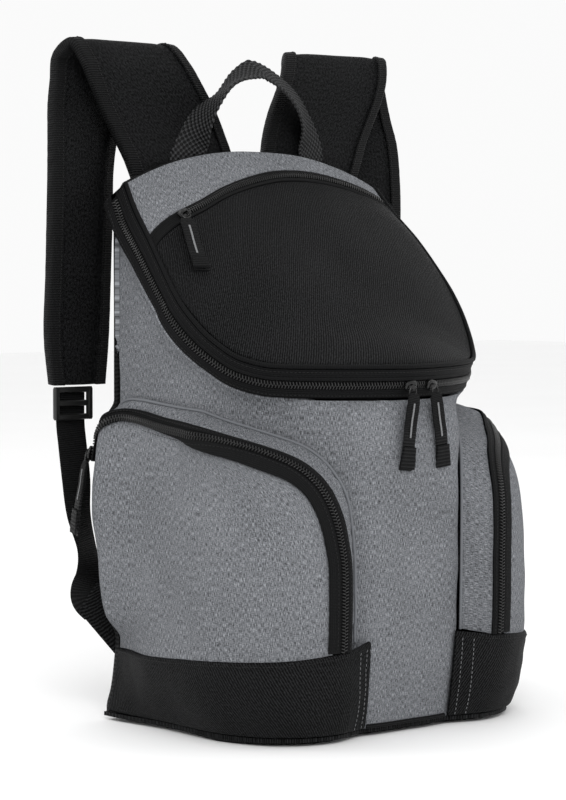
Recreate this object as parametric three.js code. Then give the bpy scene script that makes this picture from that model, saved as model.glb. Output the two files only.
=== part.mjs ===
import * as THREE from 'three';

// A cooler backpack that stands on its base. Millimetres, +Z up, the front faces -Y.
// The origin is the middle of the underside, on the surface that the bag stands on.

const clearance = 0.3;

// Cooling compartment: a U in plan, open at the back where the back panel closes it
const compartment = { halfWidth: 138, backY: 100, frontY: -92, wall: 5, flare: 7, footShare: 0.955 };
const compartmentPlan = [
  { across: 0, ahead: 1 },
  { across: 0.33, ahead: 0.965 },
  { across: 0.45, ahead: 0.8 },
  { across: 0.6, ahead: 0.52 },
  { across: 0.76, ahead: 0.22 },
  { across: 0.9, ahead: -0.09 },
  { across: 0.975, ahead: -0.42 },
  { across: 1, ahead: -0.75 },
  { across: 1, ahead: -1.0526 },
];
const frontProfile = [
  { height: 0, reach: 0.9 },
  { height: 0.12, reach: 0.96 },
  { height: 0.27, reach: 1 },
  { height: 0.7, reach: 1 },
  { height: 1, reach: 0.97 },
];

// Seam between the lid and the zip band, a U that rises from the front to the back corners
const rim = {
  backHalf: compartment.halfWidth - 16,
  wideHalf: compartment.halfWidth + 4,
  wideY: 20,
  frontY: -92,
  roundness: 1.72,
  frontZ: 279.5,
  backZ: 420,
  noseShare: 0.55,
};
const rimRise = [
  { behind: 0, up: 1 },
  { behind: 0.09, up: 0.857 },
  { behind: 0.22, up: 0.69 },
  { behind: 0.365, up: 0.473 },
  { behind: 0.48, up: 0.295 },
  { behind: 0.6, up: 0.132 },
  { behind: 0.69, up: 0.046 },
  { behind: 0.78, up: 0.011 },
  { behind: 1, up: 0 },
];
const lid = {
  crown: 27.5,
  belly: 14,
  sideRoundness: 2.3,
  frontRoundness: 4,
  thick: 3,
};
const lidZipLine = [
  { across: -1, behind: 0.545 },
  { across: -0.82, behind: 0.573 },
  { across: -0.6, behind: 0.61 },
  { across: -0.39, behind: 0.691 },
  { across: -0.165, behind: 0.761 },
  { across: 0.07, behind: 0.814 },
  { across: 0.3, behind: 0.835 },
  { across: 0.6, behind: 0.845 },
  { across: 1, behind: 0.87 },
];
const piping = { radius: 1.8, sides: 6 };

// Zip band round the lid, with its lean away from the compartment
const lidBand = { width: 25, thick: 1.6, coilAt: 14.5 };
const bandLean = [
  { behind: 0, out: 0.96 },
  { behind: 0.13, out: 0.55 },
  { behind: 0.32, out: 0.28 },
  { behind: 0.5, out: 0 },
  { behind: 0.64, out: -0.3 },
  { behind: 1, out: -0.25 },
];

const lidPocketTape = { width: 9, thick: 1.2, coilReach: 0.93 };
const coil = { width: 6, height: 2 };

// Back panel and bottom panel
const backPanel = { thick: 5, earZ: 404, pocketZ: 240 };
const bottom = { thick: 3, lift: 3.2, flatShare: 0.86 };
const frontBinding = { width: 3.2, thick: 1.4, reach: 0.93 };

// Side pockets: a bulging sheet round each front corner, as shares of these sizes
const pocket = {
  halfWidth: compartment.halfWidth + 19,
  height: 250,
  cornerY: -5,
  frontY: -100,
  endX: 72,
  roundness: 2.25,
  sideShare: 0.52,
  cinchLength: 70,
  humpAt: 9,
  wall: 2,
  seamRise: 8,
  gussetX: 43,
};
const pocketBulge = [
  { height: 0, side: 0.895, back: 0.945, front: 0.9, hump: 0 },
  { height: 0.05, side: 0.925, back: 0.93, front: 0.935, hump: 0 },
  { height: 0.1, side: 0.965, back: 0.905, front: 0.975, hump: 0 },
  { height: 0.18, side: 0.995, back: 0.885, front: 1, hump: 0 },
  { height: 0.25, side: 1, back: 0.875, front: 1.015, hump: 0.01 },
  { height: 0.34, side: 1, back: 0.93, front: 1.03, hump: 0.06 },
  { height: 0.45, side: 0.997, back: 0.955, front: 1.035, hump: 0.08 },
  { height: 0.54, side: 0.99, back: 0.975, front: 1.033, hump: 0.076 },
  { height: 0.62, side: 0.985, back: 0.99, front: 1.015, hump: 0.076 },
  { height: 0.68, side: 0.98, back: 0.997, front: 0.99, hump: 0.076 },
  { height: 0.74, side: 0.975, back: 1, front: 0.94, hump: 0.076 },
  { height: 0.8, side: 0.97, back: 0.99, front: 0.85, hump: 0.08 },
  { height: 0.86, side: 0.965, back: 0.97, front: 0.7, hump: 0.082 },
  { height: 0.92, side: 0.955, back: 0.945, front: 0.4, hump: 0.084 },
  { height: 0.96, side: 0.935, back: 0.92, front: 0.2, hump: 0.08 },
  { height: 1, side: 0.9, back: 0.88, front: 0.07, hump: 0.04 },
];

// Outer edge of the pocket zip, from the back corner over the top and down the front
const pocketZipPath = [
  { along: 0, height: 0.812 },
  { along: 0.003, height: 0.9 },
  { along: 0.03, height: 0.955 },
  { along: 0.092, height: 0.977 },
  { along: 0.176, height: 0.979 },
  { along: 0.375, height: 0.962 },
  { along: 0.642, height: 0.939 },
  { along: 0.778, height: 0.908 },
  { along: 0.863, height: 0.877 },
  { along: 0.922, height: 0.845 },
  { along: 0.962, height: 0.79 },
  { along: 0.988, height: 0.68 },
  { along: 0.995, height: 0.605 },
  { along: 1, height: 0.528 },
  { along: 1, height: 0.4 },
];
const pocketTape = { width: 22, thick: 1.2, coilAt: 8.5, seam: 5 };
const pocketTapeShare = [
  { along: 0, share: 0.56 },
  { along: 0.05, share: 0.58 },
  { along: 0.17, share: 0.78 },
  { along: 0.25, share: 1 },
  { along: 1, share: 1 },
];

// Black base round the foot of each pocket
const base = { thick: 2.4, proud: 0.8, height: 70 };
const baseTop = [
  { along: 0, height: 0.8 },
  { along: 0.44, height: 0.855 },
  { along: 0.64, height: 0.905 },
  { along: 0.84, height: 0.94 },
  { along: 1, height: 1 },
];
const baseInnerRise = 4;

// Carry handle: an arched loop of webbing sewn to the back panel
const handle = {
  width: 32,
  thick: 2.2,
  halfSpan: 65,
  crownZ: 513,
  springZ: 436,
  footZ: 408,
  twistZ: 452,
  legShare: 0.1,
  point: 1.4,
  lean: 10,
  leanRise: 45,
  twistRise: 22,
};

// Shoulder straps: both edges of the right one, from the back panel over the top and down behind
const strap = { thick: 7, spread: 180, stand: 140, crownZ: 530, endZ: 262 };
const strapPath = [
  { height: 0.534, inner: 0.072, innerStand: 0.797, outer: 0.589, outerStand: 0.797 },
  { height: 0.664, inner: 0.092, innerStand: 0.8, outer: 0.671, outerStand: 0.803 },
  { height: 0.739, inner: 0.122, innerStand: 0.825, outer: 0.726, outerStand: 0.825 },
  { height: 0.813, inner: 0.165, innerStand: 0.843, outer: 0.786, outerStand: 0.836 },
  { height: 0.888, inner: 0.227, innerStand: 0.864, outer: 0.839, outerStand: 0.836 },
  { height: 0.944, inner: 0.273, innerStand: 0.893, outer: 0.871, outerStand: 0.854 },
  { height: 0.994, inner: 0.322, innerStand: 0.957, outer: 0.906, outerStand: 0.911 },
  { height: 0.959, inner: 0.378, innerStand: 1.050, outer: 0.939, outerStand: 0.989 },
  { height: 0.888, inner: 0.456, innerStand: 1.071, outer: 0.956, outerStand: 0.982 },
  { height: 0.813, inner: 0.525, innerStand: 1.064, outer: 0.976, outerStand: 0.966 },
  { height: 0.731, inner: 0.594, innerStand: 1.043, outer: 0.994, outerStand: 0.932 },
  { height: 0.627, inner: 0.636, innerStand: 1.014, outer: 1.003, outerStand: 0.918 },
  { height: 0.515, inner: 0.65, innerStand: 0.996, outer: 1.008, outerStand: 0.918 },
  { height: 0.328, inner: 0.664, innerStand: 0.989, outer: 1.008, outerStand: 0.936 },
  { height: 0.142, inner: 0.672, innerStand: 0.996, outer: 1.006, outerStand: 0.961 },
  { height: 0, inner: 0.683, innerStand: 1.009, outer: 0.961, outerStand: 1.007 },
];
const strapEdge = { inset: 1.4, slope: 0.8 };
const binding = { width: 11, thick: 1 };

// Strap hardware and the webbing down to the base
const buckle = {
  x: strap.spread - 28,
  y: strap.stand + 1,
  z: strap.endZ - 15,
  width: 36,
  height: 26,
  thick: 5,
  bar: 4.5,
};
const webbing = { width: 27, thick: 1.6, spread: buckle.x, stand: buckle.y + 3.6, topZ: buckle.z + 9 };
const webbingPath = [
  { spread: 1, stand: 1, height: 1, acrossX: 1, acrossY: 0, acrossZ: 0 },
  { spread: 1, stand: 1, height: 0.9, acrossX: 1, acrossY: 0, acrossZ: 0 },
  { spread: 0.995, stand: 0.99, height: 0.84, acrossX: 1, acrossY: 0, acrossZ: 0 },
  { spread: 0.989, stand: 0.965, height: 0.734, acrossX: 1, acrossY: 0, acrossZ: 0 },
  { spread: 0.99, stand: 0.94, height: 0.625, acrossX: 0.97, acrossY: -0.2, acrossZ: 0 },
  { spread: 0.96, stand: 0.909, height: 0.516, acrossX: 0.88, acrossY: -0.4, acrossZ: -0.15 },
  { spread: 0.955, stand: 0.885, height: 0.4375, acrossX: 0.76, acrossY: -0.1, acrossZ: -0.55 },
  { spread: 0.985, stand: 0.862, height: 0.368, acrossX: 0.6, acrossY: 0.15, acrossZ: -0.78 },
  { spread: 0.947, stand: 0.826, height: 0.333, acrossX: 0.6, acrossY: 0.15, acrossZ: -0.78 },
];
const wing = {
  thick: 2,
  foot: { x: 120, lowZ: 42, highZ: 80 },
  edge: { x: 134, lowZ: 47, highZ: 88 },
  tip: { lowX: 159, lowY: 123.5, lowZ: 84, highX: 143.5, highY: 119.5, highZ: 106 },
};

// Zip sliders and the folded webbing pulls on them
const slider = { length: 11, width: 9, height: 4.2 };
const pull = { width: 13, length: 58, thick: 2.6 };
const lidSliders = [
  { name: 'a', turn: -0.0123, pullY: -93.7, lean: -8 },
  { name: 'b', turn: 0.0664, pullY: -92.6, lean: 8 },
];
const lidPocketSlider = { across: -0.71, pullFrom: 6, pullTo: 0.66, pullAcross: -0.725 };
const pocketSlider = { along: 0.012, swing: 5, sway: 7 };

const colours = {
  grey: 0x77787c,
  black: 0x17171a,
  blackWeave: 0x1e1e21,
  webbing: 0x1a1a1c,
  coil: 0x2a2a2d,
  strap: 0x1b1b1e,
  metal: 0x8d8f92,
  plastic: 0x202022,
};
const finish = {
  grey: new THREE.MeshStandardMaterial({ color: colours.grey, roughness: 0.95 }),
  black: new THREE.MeshStandardMaterial({ color: colours.black, roughness: 0.9 }),
  weave: new THREE.MeshStandardMaterial({ color: colours.blackWeave, roughness: 0.85 }),
  webbing: new THREE.MeshStandardMaterial({ color: colours.webbing, roughness: 0.85 }),
  coil: new THREE.MeshStandardMaterial({ color: colours.coil, roughness: 0.5 }),
  strap: new THREE.MeshStandardMaterial({ color: colours.strap, roughness: 0.9 }),
  metal: new THREE.MeshStandardMaterial({ color: colours.metal, roughness: 0.35, metalness: 0.9 }),
  plastic: new THREE.MeshStandardMaterial({ color: colours.plastic, roughness: 0.45 }),
};

const bag = new THREE.Group();
const { clamp, lerp } = THREE.MathUtils;
const V = (x, y, z) => new THREE.Vector3(x, y, z);
const hold = (value) => clamp(value, 0, 1);
const ease = (value) => hold(value) ** 2 * (3 - 2 * hold(value));

// Smooth value from a table of rows, without overshoot
function lookUp(rows, from, to, at) {
  const last = rows.length - 1;
  const place = clamp(at, rows[0][from], rows[last][from]);
  let i = 0;
  while (i < last - 1 && place > rows[i + 1][from]) i += 1;
  const slope = (j) => (rows[j + 1][to] - rows[j][to]) / (rows[j + 1][from] - rows[j][from]);
  const tangent = (j) => {
    if (j === 0 || j === last) return slope(Math.min(j, last - 1));
    const [a, b] = [slope(j - 1), slope(j)];
    return a * b <= 0 ? 0 : (2 * a * b) / (a + b);
  };
  const span = rows[i + 1][from] - rows[i][from];
  const t = (place - rows[i][from]) / span;
  const rise = (t * t * (3 - 2 * t)) * (rows[i + 1][to] - rows[i][to]);
  const bend = t * (1 - t) * ((1 - t) * tangent(i) - t * tangent(i + 1)) * span;
  return rows[i][to] + rise + bend;
}

// Closed solid between a grid of outer points and a grid of inner points
function solidFromGrids(outer, inner) {
  const rows = outer.length;
  const cols = outer[0].length;
  const positions = [...outer.flat(), ...inner.flat()].flatMap((p) => [p.x, p.y, p.z]);
  const index = [];
  const o = (i, j) => i * cols + j;
  const n = (i, j) => rows * cols + i * cols + j;
  const quad = (a, b, c, d) => index.push(a, b, c, a, c, d);
  for (let i = 0; i < rows - 1; i += 1) {
    for (let j = 0; j < cols - 1; j += 1) {
      quad(o(i, j), o(i + 1, j), o(i + 1, j + 1), o(i, j + 1));
      quad(n(i, j), n(i, j + 1), n(i + 1, j + 1), n(i + 1, j));
    }
    quad(o(i, 0), n(i, 0), n(i + 1, 0), o(i + 1, 0));
    quad(o(i + 1, cols - 1), n(i + 1, cols - 1), n(i, cols - 1), o(i, cols - 1));
  }
  for (let j = 0; j < cols - 1; j += 1) {
    quad(o(0, j + 1), n(0, j + 1), n(0, j), o(0, j));
    quad(o(rows - 1, j), n(rows - 1, j), n(rows - 1, j + 1), o(rows - 1, j + 1));
  }
  return faceOutwards(positions, index);
}

function faceOutwards(positions, index) {
  let volume = 0;
  const at = (k) => V(positions[3 * k], positions[3 * k + 1], positions[3 * k + 2]);
  for (let k = 0; k < index.length; k += 3) {
    volume += at(index[k]).dot(at(index[k + 1]).cross(at(index[k + 2])));
  }
  if (volume < 0) {
    for (let k = 0; k < index.length; k += 3) [index[k], index[k + 1]] = [index[k + 1], index[k]];
  }
  const geometry = new THREE.BufferGeometry();
  geometry.setAttribute('position', new THREE.Float32BufferAttribute(positions, 3));
  geometry.setIndex(index);
  return geometry;
}

const heart = V(0, 30, 200);

// Normals of a grid of points, all on the side away from the middle of the bag
function gridNormals(grid) {
  const rows = grid.length;
  const cols = grid[0].length;
  const normals = grid.map((row, i) => row.map((p, j) => {
    const along = grid[Math.min(i + 1, rows - 1)][j].clone().sub(grid[Math.max(i - 1, 0)][j]);
    const across = grid[i][Math.min(j + 1, cols - 1)].clone().sub(grid[i][Math.max(j - 1, 0)]);
    return along.cross(across).normalize();
  }));
  const [i, j] = [rows >> 1, cols >> 1];
  if (normals[i][j].dot(grid[i][j].clone().sub(heart)) < 0) {
    normals.forEach((row) => row.forEach((normal) => normal.negate()));
  }
  return normals;
}

function sample(surface, rows, cols) {
  return Array.from({ length: rows + 1 }, (_, i) => (
    Array.from({ length: cols + 1 }, (__, j) => surface(i / rows, j / cols))
  ));
}

// What starts in front of the back panel stays in front of it
function inFront(from, to) {
  if (from.y <= compartment.backY) to.y = Math.min(to.y, compartment.backY);
  return to;
}

// A cloth of even thickness over a surface, standing off it by the given height
function cloth(surface, rows, cols, thick, height = 0) {
  const grid = sample(surface, rows, cols);
  const normals = gridNormals(grid);
  const offset = (by) => grid.map((row, i) => (
    row.map((p, j) => inFront(p, p.clone().addScaledVector(normals[i][j], by)))
  ));
  return solidFromGrids(offset(height), offset(height - thick));
}

// A raised bead of the given height along a path on a surface
const beadShape = [0.35, 1, 0.35];

function bead(surface, rows, height, lift) {
  const grid = sample(surface, rows, beadShape.length - 1);
  const normals = gridNormals(grid);
  const offset = (by) => grid.map((row, i) => (
    row.map((p, j) => inFront(p, p.clone().addScaledVector(normals[i][j], by(j))))
  ));
  return solidFromGrids(offset((j) => lift + height * beadShape[j]), offset(() => lift));
}

function add(name, geometry, material) {
  const mesh = new THREE.Mesh(geometry, material);
  mesh.name = name;
  bag.add(mesh);
  return mesh;
}

// Half of a superellipse: across from 0 to 1 and ahead from 1 to 0 as the turn goes from 0 to 1
const arcShare = (turn, roundness) => ({
  across: Math.sin((turn * Math.PI) / 2) ** (2 / roundness),
  ahead: Math.max(0, Math.cos((turn * Math.PI) / 2)) ** (2 / roundness),
});

// Rim of the lid; u runs from -1 at the back left corner to 1 at the back right corner
function rimHeight(y) {
  const share = hold((compartment.backY - y) / (compartment.backY - rim.frontY));
  return lerp(rim.frontZ, rim.backZ, lookUp(rimRise, 'behind', 'up', share));
}

function rimPoint(u) {
  const part = Math.abs(u);
  const side = Math.sign(u);
  if (part <= rim.noseShare) {
    const { across, ahead } = arcShare(part / rim.noseShare, rim.roundness);
    const y = lerp(rim.wideY, rim.frontY, ahead);
    return V(side * rim.wideHalf * across, y, rimHeight(y));
  }
  const back = (part - rim.noseShare) / (1 - rim.noseShare);
  const y = lerp(rim.wideY, compartment.backY, back);
  return V(side * lerp(rim.wideHalf, rim.backHalf, back ** 1.5), y, rimHeight(y));
}

// Point of the zip band, a distance down from the rim
function bandPoint(u, down, leanLimit = 1) {
  const step = 0.004;
  const point = rimPoint(u);
  const along = rimPoint(Math.min(1, u + step)).sub(rimPoint(Math.max(-1, u - step))).normalize();
  const out = V(along.y, -along.x, 0).normalize();
  const fall = out.clone().cross(along).normalize();
  if (fall.z > 0) fall.negate();
  const behind = (compartment.backY - point.y) / (compartment.backY - rim.frontY);
  fall.y *= ease(behind / 0.2);
  fall.normalize();
  const lean = Math.min(leanLimit, lookUp(bandLean, 'behind', 'out', behind));
  const way = fall.multiplyScalar(Math.sqrt(1 - lean * lean)).addScaledVector(out, lean);
  return inFront(point, point.clone().addScaledVector(way, down));
}

// Plan of the compartment at a height share; turn runs from -1 to 1 like the rim
const planHalf = compartmentPlan.map((row) => (
  V(row.across * compartment.halfWidth, row.ahead * compartment.frontY, 0)
));
const planLeft = planHalf.slice(1).reverse().map((p) => V(-p.x, p.y, 0));
const planCurve = new THREE.CatmullRomCurve3([...planLeft, ...planHalf], false, 'centripetal');

function planPoint(turn, heightShare) {
  const point = planCurve.getPoint(hold((turn + 1) / 2));
  point.x *= lerp(compartment.footShare, 1, ease(heightShare / 0.5));
  if (point.y < 0) point.y *= lookUp(frontProfile, 'height', 'reach', heightShare);
  point.y = Math.min(point.y, compartment.backY);
  return point;
}

// Turn of the plan nearest to a point
const planSamples = Array.from({ length: 401 }, (_, i) => {
  const turn = i / 200 - 1;
  return { turn, at: planPoint(turn, 1) };
});
function planTurn(point) {
  const distance = ({ at }) => Math.hypot(at.x - point.x, at.y - point.y);
  return planSamples.reduce((best, next) => (distance(next) < distance(best) ? next : best)).turn;
}

const footZ = bottom.lift + bottom.thick;
const bodyLeanLimit = 0.28;

function bodyTop(u) {
  return bandPoint(u, lidBand.width + 5 * clearance, bodyLeanLimit);
}

function bodySurface(u, turn, share) {
  const top = bodyTop(u);
  top.y = Math.min(top.y, compartment.backY);
  const z = lerp(footZ + clearance, top.z, share);
  const plan = planPoint(turn, z / rim.frontZ);
  const pulled = Math.exp((z - top.z) / compartment.flare);
  return V(lerp(plan.x, top.x, pulled), lerp(plan.y, top.y, pulled), z);
}

function makeBody() {
  const columns = 32;
  const turns = Array.from({ length: columns + 1 }, (_, i) => planTurn(bodyTop((2 * i) / columns - 1)));
  const surface = (i, share) => {
    const k = Math.round(i * columns);
    return bodySurface((2 * k) / columns - 1, turns[k], 1 - (1 - share) ** 1.6);
  };
  const outer = sample(surface, columns, 9);
  const normals = gridNormals(outer);
  const inner = outer.map((row, i) => row.map((p, j) => (
    inFront(p, p.clone().addScaledVector(normals[i][j].setZ(0).normalize(), -compartment.wall))
  )));
  add('body_shell', solidFromGrids(outer, inner), finish.grey);
}

const rimInset = piping.radius + 2 * clearance;
const lidCoilLift = 4 * clearance;
const lidInset = piping.radius + clearance + lid.thick;

// Lid: t runs across from -1 to 1, v runs forwards from 0 at the back panel to 1 at the rim
function lidPoint(t, v) {
  const part = Math.abs(t);
  const { across, ahead } = arcShare(part, rim.roundness);
  const frontX = rim.wideHalf * across;
  const frontY = lerp(rim.wideY, rim.frontY, ahead);
  const bow = (rim.wideHalf - rim.backHalf) * (v - v * v) * part;
  const x = lerp(part * rim.backHalf, frontX, v) + bow;
  const y = lerp(compartment.backY, frontY, v);
  const crown = lid.crown + lid.belly * v;
  const rise = crown * (1 - part ** lid.sideRoundness) * (1 - v ** lid.frontRoundness);
  return V(Math.sign(t) * x, y, rimHeight(y) + rise);
}

// Point of the lid's cloth, which keeps inside the piping at both sides
function lidCloth(t, v) {
  const point = lidPoint(t, v);
  point.x *= 1 - lidInset / rim.wideHalf;
  return point;
}

function lidZipShare(t) {
  const zipY = lookUp(lidZipLine, 'across', 'behind', t) * compartment.backY;
  return (compartment.backY - zipY) / (compartment.backY - lidPoint(t, 1).y);
}

function lidStrip(t, distance) {
  const depth = compartment.backY - lidPoint(t, 1).y;
  return lidCloth(t, Math.max(0, lidZipShare(t) + distance / depth));
}

function makeLid() {
  const half = lidPocketTape.width / 2;
  const depth = (t) => compartment.backY - lidPoint(t, 1).y;
  const back = (i, j) => {
    const t = 2 * i - 1;
    return lidCloth(t, (lidZipShare(t) - (half + clearance) / depth(t)) * j);
  };
  const front = (i, j) => {
    const t = 2 * i - 1;
    const start = lidZipShare(t) + (half + clearance) / depth(t);
    return lidCloth(t, lerp(start, 1 - lidInset / depth(t), j));
  };
  add('lid_back_panel', cloth(back, 20, 2, lid.thick), finish.grey);
  add('lid_front_panel', cloth(front, 20, 8, lid.thick), finish.weave);
  const tape = (i, j) => lidStrip(2 * i - 1, lerp(-half, half, j));
  add('lid_pocket_zip_tape', cloth(tape, 20, 1, lidPocketTape.thick), finish.black);
  const chain = (i, j) => lidStrip((2 * i - 1) * lidPocketTape.coilReach, lerp(-coil.width / 2, coil.width / 2, j));
  add('lid_pocket_zip_chain', bead(chain, 24, coil.height, 2 * clearance), finish.coil);
}

function makePiping() {
  const rows = 44;
  const ring = (u) => {
    const centre = rimPoint(u);
    const step = 0.004;
    const along = rimPoint(Math.min(1, u + step)).sub(rimPoint(Math.max(-1, u - step))).normalize();
    const out = V(along.y, -along.x, 0).normalize();
    const up = out.clone().cross(along).normalize();
    return Array.from({ length: piping.sides }, (_, k) => {
      const angle = (2 * Math.PI * k) / piping.sides;
      const point = centre.clone()
        .addScaledVector(out, piping.radius * Math.cos(angle))
        .addScaledVector(up, piping.radius * Math.sin(angle));
      return inFront(centre, point);
    });
  };
  const rings = Array.from({ length: rows + 1 }, (_, i) => ring((2 * i) / rows - 1));
  add('lid_piping', solidFromRings(rings), finish.black);
}

// Closed solid through rings of points, with flat ends
function solidFromRings(rings) {
  const sides = rings[0].length;
  const positions = rings.flat().flatMap((p) => [p.x, p.y, p.z]);
  const index = [];
  rings.slice(1).forEach((_, i) => {
    for (let k = 0; k < sides; k += 1) {
      const next = (k + 1) % sides;
      const [a, b, c, d] = [i * sides + k, i * sides + next, (i + 1) * sides + next, (i + 1) * sides + k];
      index.push(a, b, c, a, c, d);
    }
  });
  const end = (rings.length - 1) * sides;
  for (let k = 1; k < sides - 1; k += 1) {
    index.push(0, k + 1, k);
    index.push(end, end + k, end + k + 1);
  }
  return faceOutwards(positions, index);
}

function makeLidBand() {
  const tape = (i, j) => bandPoint(2 * i - 1, lerp(rimInset, lidBand.width, j));
  add('lid_zip_tape', cloth(tape, 44, 2, lidBand.thick), finish.black);
  const chain = (i, j) => (
    bandPoint(2 * i - 1, lidBand.coilAt + lerp(-coil.width / 2, coil.width / 2, j))
  );
  add('lid_zip_chain', bead(chain, 44, coil.height, lidCoilLift), finish.coil);
}

// Pocket sheet: a runs from 0 at the back panel to 1 at the front, z is the height
function pocketPoint(a, z) {
  const height = z / pocket.height;
  const sideX = pocket.halfWidth * lookUp(pocketBulge, 'height', 'side', height);
  const backX = pocket.halfWidth * lookUp(pocketBulge, 'height', 'back', height);
  const frontY = pocket.frontY * lookUp(pocketBulge, 'height', 'front', height);
  if (a < pocket.sideShare) {
    const y = lerp(compartment.backY, pocket.cornerY, a / pocket.sideShare);
    const depth = compartment.backY - y;
    const away = ease(depth / pocket.cinchLength);
    const hump = pocket.halfWidth * lookUp(pocketBulge, 'height', 'hump', height);
    const swell = hump * (depth / pocket.humpAt) * Math.exp(1 - depth / pocket.humpAt);
    return V(-lerp(backX, sideX, away) - swell, y, z);
  }
  const turn = hold((a - pocket.sideShare) / (1 - pocket.sideShare));
  const { across, ahead } = arcShare(1 - turn, pocket.roundness);
  return V(-lerp(pocket.endX, sideX, across), lerp(pocket.cornerY, frontY, ahead), z);
}

const sheetStep = { share: 0.004, z: 0.5, walk: 4 };
const zipFoot = base.height + clearance;
const zipRows = pocketZipPath.map((row) => V(row.along, row.height, 0));
const zipCurve = new THREE.CatmullRomCurve3([...zipRows, V(1, zipFoot / pocket.height, 0)], false, 'centripetal');
zipCurve.arcLengthDivisions = 400;

function zipEdge(t) {
  const point = zipCurve.getPointAt(hold(t));
  return { share: hold(point.x), z: point.y * pocket.height };
}

// Slopes of the sheet along its two directions
function sheetSlopes({ share, z }) {
  const from = Math.min(share, 1 - sheetStep.share);
  const here = pocketPoint(from, z);
  const along = pocketPoint(from + sheetStep.share, z).sub(here).divideScalar(sheetStep.share);
  const up = pocketPoint(from, z + sheetStep.z).sub(here).divideScalar(sheetStep.z);
  return { along, up };
}

// Walk over the sheet from a place, in a direction, for a distance
function walk(place, direction, distance) {
  const steps = Math.max(1, Math.ceil(distance / sheetStep.walk));
  const length = distance / steps;
  let { share, z } = place;
  for (let i = 0; i < steps; i += 1) {
    const { along, up } = sheetSlopes({ share, z });
    const normal = along.clone().cross(up).normalize();
    direction.addScaledVector(normal, -direction.dot(normal)).normalize();
    const [ee, ff, gg] = [along.dot(along), along.dot(up), up.dot(up)];
    const [p, q] = [along.dot(direction), up.dot(direction)];
    const area = ee * gg - ff * ff;
    share = hold(share + (length * (p * gg - q * ff)) / area);
    z += (length * (q * ee - p * ff)) / area;
  }
  return { share, z };
}

// Place on the pocket's zip: t from the back corner to the base, inset from its outer edge
function zipPoint(t, inset) {
  const place = zipEdge(t);
  if (inset === 0) return place;
  const step = 0.004;
  const before = zipEdge(t - step);
  const after = zipEdge(t + step);
  const along = pocketPoint(after.share, after.z).sub(pocketPoint(before.share, before.z));
  const { along: forward, up } = sheetSlopes(place);
  const inward = forward.cross(up).cross(along).normalize();
  const toFace = pocketPoint(pocket.sideShare, pocket.height / 2).sub(onSheet(place));
  if (inward.dot(toFace) < 0) inward.negate();
  const reached = walk(place, inward, inset);
  return { share: reached.share, z: Math.max(reached.z, zipFoot) };
}

const onSheet = ({ share, z }) => pocketPoint(share, z);
const mirrored = (surface, side) => (i, j) => {
  const p = surface(i, j);
  return V(-side * p.x, p.y, p.z);
};
const baseHeight = (a) => base.height * lookUp(baseTop, 'along', 'height', a);

const tapeShare = (t) => lookUp(pocketTapeShare, 'along', 'share', t);

// Grey front of the pocket: a patch between the base, the back panel and the zip
function pocketPanel() {
  const inset = (t) => pocketTape.width * tapeShare(t) - pocketTape.seam;
  const cornerT = 0.62;
  const backTop = 0.765;
  const foot = zipPoint(1, inset(1));
  const flat = ({ share, z }) => V(share, z / pocket.height, 0);
  const low = (i) => {
    const share = i * foot.share;
    return V(share, (baseHeight(share) + clearance) / pocket.height, 0);
  };
  const high = (i) => {
    const t = lerp(0, cornerT, i);
    return V(0, backTop, 0).lerp(flat(zipPoint(t, inset(t))), ease(i / 0.07));
  };
  const left = (j) => V(0, lerp(low(0).y, high(0).y, j), 0);
  const right = (j) => {
    const t = lerp(1, cornerT, j);
    return flat(zipPoint(t, inset(t)));
  };
  const patch = (i, j) => {
    const ends = left(j).lerp(right(j), i);
    const sides = low(i).lerp(high(i), j);
    const corners = left(0).lerp(right(0), i).lerp(left(1).lerp(high(1), i), j);
    return ends.add(sides).sub(corners);
  };
  return (i, j) => {
    const p = patch(i, j);
    return pocketPoint(hold(p.x), p.y * pocket.height);
  };
}

// Where the gusset of the pocket is sewn to the compartment
const gussetTurn = -planSamples.find(({ at }) => at.x > pocket.gussetX).turn;

function beside(turn, z, distance) {
  const share = z / rim.frontZ;
  const step = 0.01;
  const here = planPoint(turn, share);
  const along = planPoint(Math.min(turn + step, 1), share).sub(planPoint(Math.max(turn - step, -1), share));
  const out = V(along.y, -along.x, 0).normalize();
  return V(here.x + out.x * distance, here.y + out.y * distance, z);
}

function seamPoint(t) {
  const edge = onSheet(zipEdge(t));
  const turn = Math.min(gussetTurn, planTurn(edge));
  const z = lerp(edge.z + pocket.seamRise, edge.z + baseInnerRise, ease((t - 0.7) / 0.3));
  return beside(turn, z, pocket.wall + 4 * clearance);
}

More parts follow.
